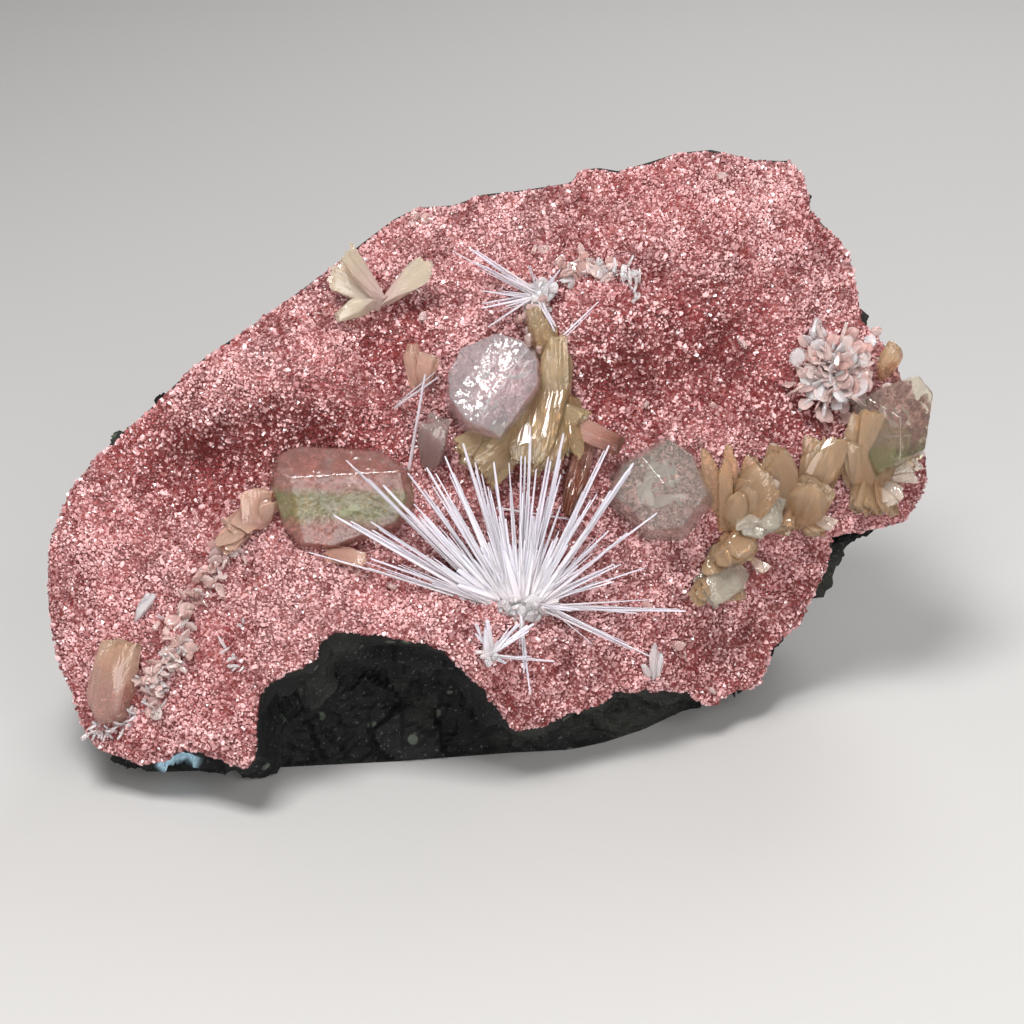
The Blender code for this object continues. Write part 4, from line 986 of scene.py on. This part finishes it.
# Root u, v, height; tip u, v, height; width; thickness. Heights are over the crust.
STILBITE = {
    "stilbite_sheaf_centre": [
        ((5.6, 76, 0.4), (4.2, 84.6, 4.2), 4.6, 3.6), ((7.6, 66, 0.5), (6.8, 80.6, 4.4), 5.8, 4),
        ((7, 74, 1.4), (6, 58.4, 5.6), 7.8, 5), ((8.6, 72, 0.6), (10.4, 60.4, 4.8), 5.6, 4),
        ((4, 70, 1), (1.6, 58.6, 5.2), 6.6, 4.4), ((2.6, 67, 1), (-5.6, 57.6, 4.8), 8.6, 4.6),
        ((0, 66, 1), (-9, 60.8, 4.2), 6, 3.8), ((6.6, 70, 1), (11.6, 66, 4), 4.6, 3.4),
    ],
    "stilbite_grey_pink": [
        ((-13.6, 58.4, 0), (-12.4, 66, 5.6), 5.6, 4), ((-12.4, 61, 0), (-15, 64.4, 3.8), 3.6, 3),
    ],
    "stilbite_pair_tan": [
        ((-15.6, 71.8, 0.3), (-16.4, 78.8, 5), 3.8, 2.4), ((-15.2, 72, 0.3), (-12.4, 77.4, 5), 3.6, 2.4),
    ],
    "stilbite_plate_low": [((-30.5, 44.5, 0.8), (-24, 43.2, 3), 3.4, 2)],
    "stilbite_left": [
        ((-42.6, 48.6, 0.4), (-42.8, 55.2, 5), 6.4, 3), ((-41, 50, 0.2), (-39.9, 53.4, 4.4), 3, 2.6),
        ((-43, 51, 0), (-46.8, 48.6, 3.5), 5, 2.8), ((-44, 50, 0), (-47.6, 45, 3), 4.4, 2.6),
    ],
    "stilbite_chain_right": [
        ((36.2, 50, 0), (35.6, 62, 5.2), 3.6, 2.6), ((38.6, 51.4, 0.5), (43.6, 59, 5.6), 8, 5),
        ((37.6, 50, 0.5), (39.4, 56.6, 5), 5, 4), ((47.6, 52, 0.5), (43.2, 61.6, 6.4), 7, 3.2),
        ((49, 51, 0.5), (50.4, 57.6, 6), 8, 4.4), ((50.6, 54, 0.5), (55.4, 66.2, 6.4), 6.6, 3.4),
        ((51, 55, 0.5), (52.6, 65, 5.4), 5, 3), ((47, 53, 0.3), (45.6, 49.4, 4.6), 5, 3.6),
        ((51.6, 52.6, 0.3), (52, 48.6, 4.4), 4.6, 3), ((38, 49.5, 0.3), (40, 43.8, 5), 7.5, 4.6),
        ((38, 46.6, 0.3), (33.4, 43, 4.8), 5.4, 4.4),
        ((36, 41, 0.3), (31, 38.4, 4.6), 4.6, 4), ((38, 42, 0.3), (38.2, 37.4, 4.4), 4.4, 3.6),
    ],
    "chain_clear": [
        ((40, 53.4, 0.5), (45.4, 50.4, 6.4), 8, 4.6), ((41, 54, 0.5), (40, 48.6, 5.6), 5, 3.6),
        ((37.6, 43.4, 0.3), (33.8, 36.6, 5.8), 8, 5), ((36, 42, 0.3), (37.4, 38.6, 6), 4.6, 3.4),
    ],
    "chain_white": [
        ((63.6, 59, 1), (70.6, 62, 4.6), 3.2, 1.4), ((63.6, 58.6, 1.4), (69.6, 59.2, 5), 2.6, 1.2),
        ((63, 58.4, 1.6), (67.6, 56.2, 5.6), 3.0, 1.4), ((62.6, 58, 1.6), (65, 54, 6.2), 2.8, 1.3),
        ((50, 53, 1.2), (55.4, 50.6, 5.4), 2.6, 1.2), ((49.6, 53.4, 1.6), (53.4, 56, 7), 2.4, 1.1),
        ((41.6, 52, 1.2), (44.2, 58, 7), 2.2, 1.0), ((41, 45, 1), (43.6, 42.4, 5), 2.2, 1.0),
    ],
    "stilbite_right": [
        ((61.4, 55.6, 0.8), (61.6, 69.4, 6.8), 8.4, 4), ((60.4, 56, 0.5), (59, 66, 5.6), 5, 3.2),
        ((63.4, 57, 0.5), (64.6, 67, 5.4), 5, 3.2), ((61, 58, 0.5), (59, 52.6, 5.4), 5, 3.4),
        ((63, 58.6, 0.5), (63.4, 52, 5.6), 6.6, 3.6), ((65, 58.4, 0.5), (70, 61.4, 4.2), 3.8, 2.2),
    ],
    "stilbite_tan_right": [((63.8, 76.6, 0), (67, 81.8, 6.4), 4.6, 2.6)],
    "stilbite_bowtie": [
        ((-21.2, 86, 0.8), (-31, 92, 5.6), 8.4, 1.7), ((-21.2, 86.6, 1.2), (-27.4, 94, 6.6), 7, 1.5),
        ((-22, 86.4, 0.8), (-13.4, 92.6, 5.4), 5.4, 1.8), ((-22, 87, 0.8), (-15.6, 93, 4.6), 3.8, 1.5),
        ((-21.6, 87.4, 0.8), (-28.4, 82.8, 3.6), 4.2, 2.2),
    ],
    "stilbite_blade_low_left": [((-67.8, 15.6, 0.8), (-67.6, 31.4, 5.2), 9.0, 4.4)],
}
# Look, blades side by side in each crystal, and width at its root as a share of that at its tip
SHEAVES = {
    "stilbite_sheaf_centre": ("yellow", 2, 0.7),
    "stilbite_grey_pink": ("greyish", 2, 0.85),
    "stilbite_pair_tan": ("soft_tan", 2, 0.6),
    "stilbite_plate_low": ("soft_tan", 2, 0.85),
    "stilbite_left": ("soft_tan", 3, 0.85),
    "stilbite_chain_right": ("tan", 3, 0.85),
    "chain_clear": ("clear", 2, 0.85),
    "chain_white": ("white", 2, 0.4),
    "stilbite_right": ("tan", 3, 0.85),
    "stilbite_tan_right": ("tan", 1, 0.85),
    "stilbite_bowtie": ("cream", 1, 0.25),
    "stilbite_blade_low_left": ("straw", 1, 0.85),
}
# Colour at the root, colour at the tip, and clearness
STILBITE_LOOKS = {
    "tan": ((212, 168, 126), (230, 198, 160), 0.8),
    "yellow": ((230, 194, 146), (236, 214, 174), 0.84),
    "soft_tan": ((222, 176, 158), (238, 202, 182), 0.74),
    "clear": ((244, 226, 210), (248, 240, 222), 0.82),
    "white": ((234, 208, 190), (246, 232, 218), 0.76),
    "greyish": ((206, 168, 164), (222, 198, 194), 0.82),
    "cream": ((228, 202, 194), (220, 206, 184), 0.6),
    "straw": ((200, 154, 140), (206, 172, 144), 0.66),
    "brown": ((196, 150, 138), (120, 62, 38), 0.6),
}
BLADE_GRID, BLADE_RIDGE, BLADE_SWING, BLADE_LEAN = (48, 27), 0.12, 0.1, 0.35


def stacked(rng, entries, plies, waist):
    """Each listed crystal as a few blades side by side, turned a little in their own plane."""
    roots = turned(over_crust([entry[0] for entry in entries]))
    tips = turned(over_crust([entry[1] for entry in entries]))
    pick = np.repeat(np.arange(len(entries)), plies)
    ply = np.tile(np.arange(plies), len(entries)) - (plies - 1) / 2
    count = len(pick)
    widths, thicks = (np.array([entry[place] for entry in entries], float)[pick] for place in (2, 3))
    way = (tips - roots)[pick]
    long = np.linalg.norm(way, axis=-1)
    way = way / long[:, None]
    out = turned([0, 0, 1]) - FACE_ORIGIN
    side = unit(np.cross(way, np.broadcast_to(out, way.shape)))
    leaning = rng.normal(0, BLADE_LEAN, len(entries))[pick]
    face = np.cross(side, way) * np.cos(leaning)[:, None] + side * np.sin(leaning)[:, None]
    side = np.cross(way, face)
    way = unit(way + side * rng.normal(0, BLADE_SWING, count)[:, None])
    sizes = np.stack([long * rng.uniform(0.86, 1.02, count), widths * rng.uniform(0.78, 1.05, count),
                      thicks / plies * rng.uniform(0.85, 1.2, count)], axis=-1)
    starts = roots[pick] + face * (ply * thicks / plies * 0.8)[:, None]
    return chunks(rng, starts, way, face, sizes, waist, BLADE_GRID, BLADE_RIDGE)


def stilbite_finish(name, root, tip, clear):
    """Blade of one tan going to another at the tip, streaked along its length."""
    finish = Finish("stilbite_" + name)
    along, across, tint = finish.mark("along"), finish.mark("across"), finish.mark("tone")
    place = finish.node("ShaderNodeCombineXYZ", None, {0: across * 7, 1: along * 0.8, 2: tint * 60})
    streak = finish.node("ShaderNodeTexNoise", None, {"Vector": place, "Scale": 1.0, "Detail": 4.0})
    toward_tip = finish.between(along + (tint - 0.5) * 0.5, 0.1, 0.95)
    colour = finish.mix(toward_tip, pigment(*root), pigment(*tip))
    colour = finish.mix(finish.between(streak, 0.45, 0.75) * 0.22, colour, pigment(248, 236, 226))
    return finish.surface({
        "Base Color": colour,
        "Roughness": streak * 0.2 - 0.02,
        "Normal": finish.bump(streak, 0.04),
        "Transmission Weight": clear,
        "IOR": 1.5,
    })


stilbite_finishes = {look: stilbite_finish(look, *values) for look, values in STILBITE_LOOKS.items()}
rng = np.random.default_rng(23)
for name, entries in STILBITE.items():
    look, plies, waist = SHEAVES[name]
    add_chunks(name + "_blades", [stacked(rng, entries, plies, waist)], stilbite_finishes[look],
               [name] if name.startswith("stilbite") else [])

# The long tan blade and the brown prism that lean out of the central sheaf.
bar_roots = turned(over_crust([(9, 66.8, 0.5), (12.4, 64.4, 0)]))
bar_ways = turned(over_crust([(17.6, 62.6, 6.2), (9.4, 51.2, 4.2)])) - bar_roots
bar_sizes = np.column_stack([np.linalg.norm(bar_ways, axis=-1), [3.8, 4.2], [2.8, 3.0]])
BAR_GRID = (24, 13)
bar_faces = turned([[0, 0, 1.0]] * 2) - FACE_ORIGIN
bars = chunks(rng, bar_roots, unit(bar_ways), bar_faces, bar_sizes, grid=BAR_GRID)
bars[1]["tone"] = np.array([0.0, 1.0])[:, None, None] + 0 * bars[1]["along"]
add_chunks("stilbite_bars", [bars], stilbite_finishes["brown"], ["stilbite_sheaf_centre"])

# Small pale crystals: clear to white plates and prisms of the same zeolites, in strings, in a
# rosette near the right end, and alone over the crust.


def standing(rng, places, sizes, tilt, lift=0.0):
    """Chunks of about the given sizes standing on the crust at u, v, leaning at random by the tilt."""
    places = np.asarray(places, float)
    u, v = places[:, 0], places[:, 1]
    normal = face_normal(u, v)
    ways = unit(normal + rng.normal(0, tilt, normal.shape))
    count = len(u)
    roots = on_face(u, v, relief(u, v) + lift) - normal * 0.4
    faces = any_way(rng, count)
    return chunks(rng, roots, ways, faces, np.array(sizes) * rng.uniform(0.6, 1.15, (count, 3)), 0.8)


def along_string(rng, string, count, spread):
    """Places scattered along a line of points u, v."""
    string = np.array(string, float)
    walked = np.concatenate([[0], np.cumsum(np.linalg.norm(np.diff(string, axis=0), axis=1))])
    spot = rng.uniform(0, walked[-1], count)
    places = np.stack([np.interp(spot, walked, string[:, axis]) for axis in range(2)], axis=-1)
    return places + rng.normal(0, spread, places.shape)


pale_finish = Finish("pale_crystals")
glow, whiteness = pale_finish.mark("tone"), pale_finish.noise(1.5, 3.0)
# The pink of these colours is painted light: the crust seen through the clear crystals
pale_finish.surface({
    "Base Color": pale_finish.mix(glow, pigment(236, 198, 190), pigment(250, 234, 230)),
    "Roughness": whiteness * 0.24,
    "Normal": pale_finish.bump(whiteness, 0.05),
    "Transmission Weight": 0.66,
    "IOR": 1.46,
})
# The lines of the strings and the places of the lone plates, as u, v
LEFT_STRING = [
    (-45, 48.2), (-48.6, 42.9), (-50.2, 40.4), (-52.8, 36.9), (-54.4, 34.4), (-55.7, 31.9),
    (-53.7, 29.4), (-56.7, 26.4), (-60.6, 23), (-58.4, 20.5), (-60.6, 19.2),
]
UPPER_STRING = [(7.5, 90.5), (9.5, 92), (13, 93), (17, 91.4), (20.5, 91.4), (21.2, 88)]
SPRAY_STRING = [(3, 84), (4.5, 80.7), (4, 86.5)]
FOOT_STRING = [(-70, 14.6), (-69, 15.5), (-65, 16), (-62, 18)]
INNER_STRING = [(-45, 31), (-44, 35), (-46, 29), (-46, 26), (-44, 26)]
# Finish, node, and groups: their line, count, spread, size, tilt, and lift over the crust
STRINGS = {
    "pale_string_left": (pale_finish, "pale_crystals_left", [
        (LEFT_STRING, 92, 0.9, (2.8, 2.3, 0.6), 1.1, 0.2),
        (LEFT_STRING[4:], 20, 1.3, (2.6, 1.4, 0.9), 1.1, 0.0),
    ]),
    "pale_string_left_white": (root_finish, "pale_crystals_left", [
        (LEFT_STRING[4:], 34, 1.3, (2.8, 0.6, 0.45), 1.1, 0.2),
        (FOOT_STRING, 44, 0.6, (2.6, 0.6, 0.45), 0.9, 0.0),
        (INNER_STRING, 12, 0.7, (2.8, 0.7, 0.5), 1.1, 0.0),
    ]),
    "pale_string_upper": (pale_finish, "pale_crystals_upper", [
        (UPPER_STRING[:4], 28, 0.9, (2.8, 2.3, 0.6), 1.1, 0.2),
        (SPRAY_STRING, 26, 0.9, (3.2, 2.4, 1.4), 0.8, 1.0),
    ]),
    "pale_string_upper_white": (root_finish, "pale_crystals_upper", [
        (UPPER_STRING[2:], 44, 0.7, (2.6, 0.6, 0.45), 1.1, 0.2),
        (UPPER_STRING[1:], 8, 0.9, (2.6, 2.0, 0.6), 1.0, 0.4),
    ]),
}
rng = np.random.default_rng(24)
for name, (finish, node, groups) in STRINGS.items():
    strung = [standing(rng, along_string(rng, line, count, spread), size, tilt, lift)
              for line, count, spread, size, tilt, lift in groups]
    add_chunks(name, strung, finish, [node])

LONE_PLATES = [
    (22, 37), (23, 71), (32, 63), (37, 61), (44, 103), (63, 84), (35, 70), (39, 82), (36, 112),
    (-26, 44), (-26, 41), (-20, 39), (28, 29), (30, 27), (35, 22), (63.5, 80), (58, 86), (70, 70),
    (-16, 102), (-15, 101.5), (-14, 102.5), (-17, 101), (3.5, 96), (4.5, 97), (-14.5, 84), (6, 77),
]
add_chunks("pale_plates", [standing(rng, LONE_PLATES, (2.4, 1.8, 0.8), 0.8)], pale_finish)

ROSETTE_AT, ROSETTE_COUNT = np.array([55.6, 77.2]), 170
spot = ROSETTE_AT + rng.normal(0, 2.5, (ROSETTE_COUNT, 2))
rosette_root = over_crust(np.column_stack([spot, rng.uniform(0.3, 2.2, ROSETTE_COUNT)]))
rosette_way = np.column_stack([(spot - ROSETTE_AT) * 0.4 + rng.normal(0, 1, (ROSETTE_COUNT, 2)),
                               rng.uniform(0.2, 1.8, ROSETTE_COUNT)])
rosette_way = turned(unit(rosette_way)) - FACE_ORIGIN
rosette_sizes = np.array([2.8, 2.5, 0.5]) * rng.lognormal(0, 0.2, (ROSETTE_COUNT, 1))
rosette_sizes = rosette_sizes * rng.uniform(0.8, 1.15, (ROSETTE_COUNT, 3))
rosette_faces = any_way(rng, ROSETTE_COUNT)
WHITE_BLADES = 45
for name, finish, some in (("rosette_white", root_finish, slice(0, WHITE_BLADES)),
                           ("rosette_blades", pale_finish, slice(WHITE_BLADES, None))):
    own = (part[some] for part in (turned(rosette_root), rosette_way, rosette_faces, rosette_sizes))
    add_chunks(name, [chunks(rng, *own)], finish, ["stilbite_rosette"])

# Where it stands: a plain pale floor under soft studio light, seen from a little above the front.

FLOOR_HALF = 3.0
floor_mesh = bpy.data.meshes.new("floor")
floor_corners = [(x * FLOOR_HALF, y * FLOOR_HALF, 0) for x, y in ((-1, -1), (1, -1), (1, 1), (-1, 1))]
floor_mesh.from_pydata(floor_corners, [], [(0, 1, 2, 3)])
floor_finish = Finish("floor")
floor_finish.surface({
    "Base Color": pigment(176, 174, 172),
    "Roughness": floor_finish.noise(40.0) * 0.1 + 0.6,
})
floor_mesh.materials.append(floor_finish.material)
ground_plane = bpy.data.objects.new("floor", floor_mesh)
bpy.context.scene.collection.objects.link(ground_plane)

# Each light's place and size in metres, and its power in watts
LIGHTS = {
    "key": ((-0.12, -0.24, 0.62), 0.2, 5.0),
    "front": ((0.42, -0.62, 0.52), 0.5, 3.7),
    "low": ((-0.05, -0.62, 0.16), 0.4, 2.4),
    "rim": ((0.2, 0.55, 0.45), 0.4, 2.0),
}
middle = (np.array(cad_box[0]) + np.array(cad_box[1])) / 2
for name, (place, size, power) in LIGHTS.items():
    lamp = bpy.data.lights.new(name, "AREA")
    lamp.size, lamp.energy = size, power
    holder = bpy.data.objects.new(name, lamp)
    bpy.context.scene.collection.objects.link(holder)
    holder.location = place
    way = holder.location - type(holder.location)(middle)
    holder.rotation_euler = way.to_track_quat("Z", "Y").to_euler()

WORLD_COLOUR, WORLD_STRENGTH = (0.85, 0.85, 0.86, 1), 0.26
world = bpy.data.worlds.new("studio")
world.use_nodes = True
sky = world.node_tree.nodes["Background"]
sky.inputs["Color"].default_value = WORLD_COLOUR
sky.inputs["Strength"].default_value = WORLD_STRENGTH
bpy.context.scene.world = world
bpy.context.scene.view_settings.view_transform = "Standard"

CAMERA_PLACE, CAMERA_TILT, CAMERA_LENS = (0.0029, -0.422134, 0.2361), 65.0, 95.083
camera = bpy.data.objects.new("camera", bpy.data.cameras.new("camera"))
bpy.context.scene.collection.objects.link(camera)
camera.data.lens, camera.data.sensor_width, camera.data.clip_start = CAMERA_LENS, 36.0, 0.01
camera.location = CAMERA_PLACE
camera.rotation_euler = (math.radians(CAMERA_TILT), 0, 0)
bpy.context.scene.camera = camera
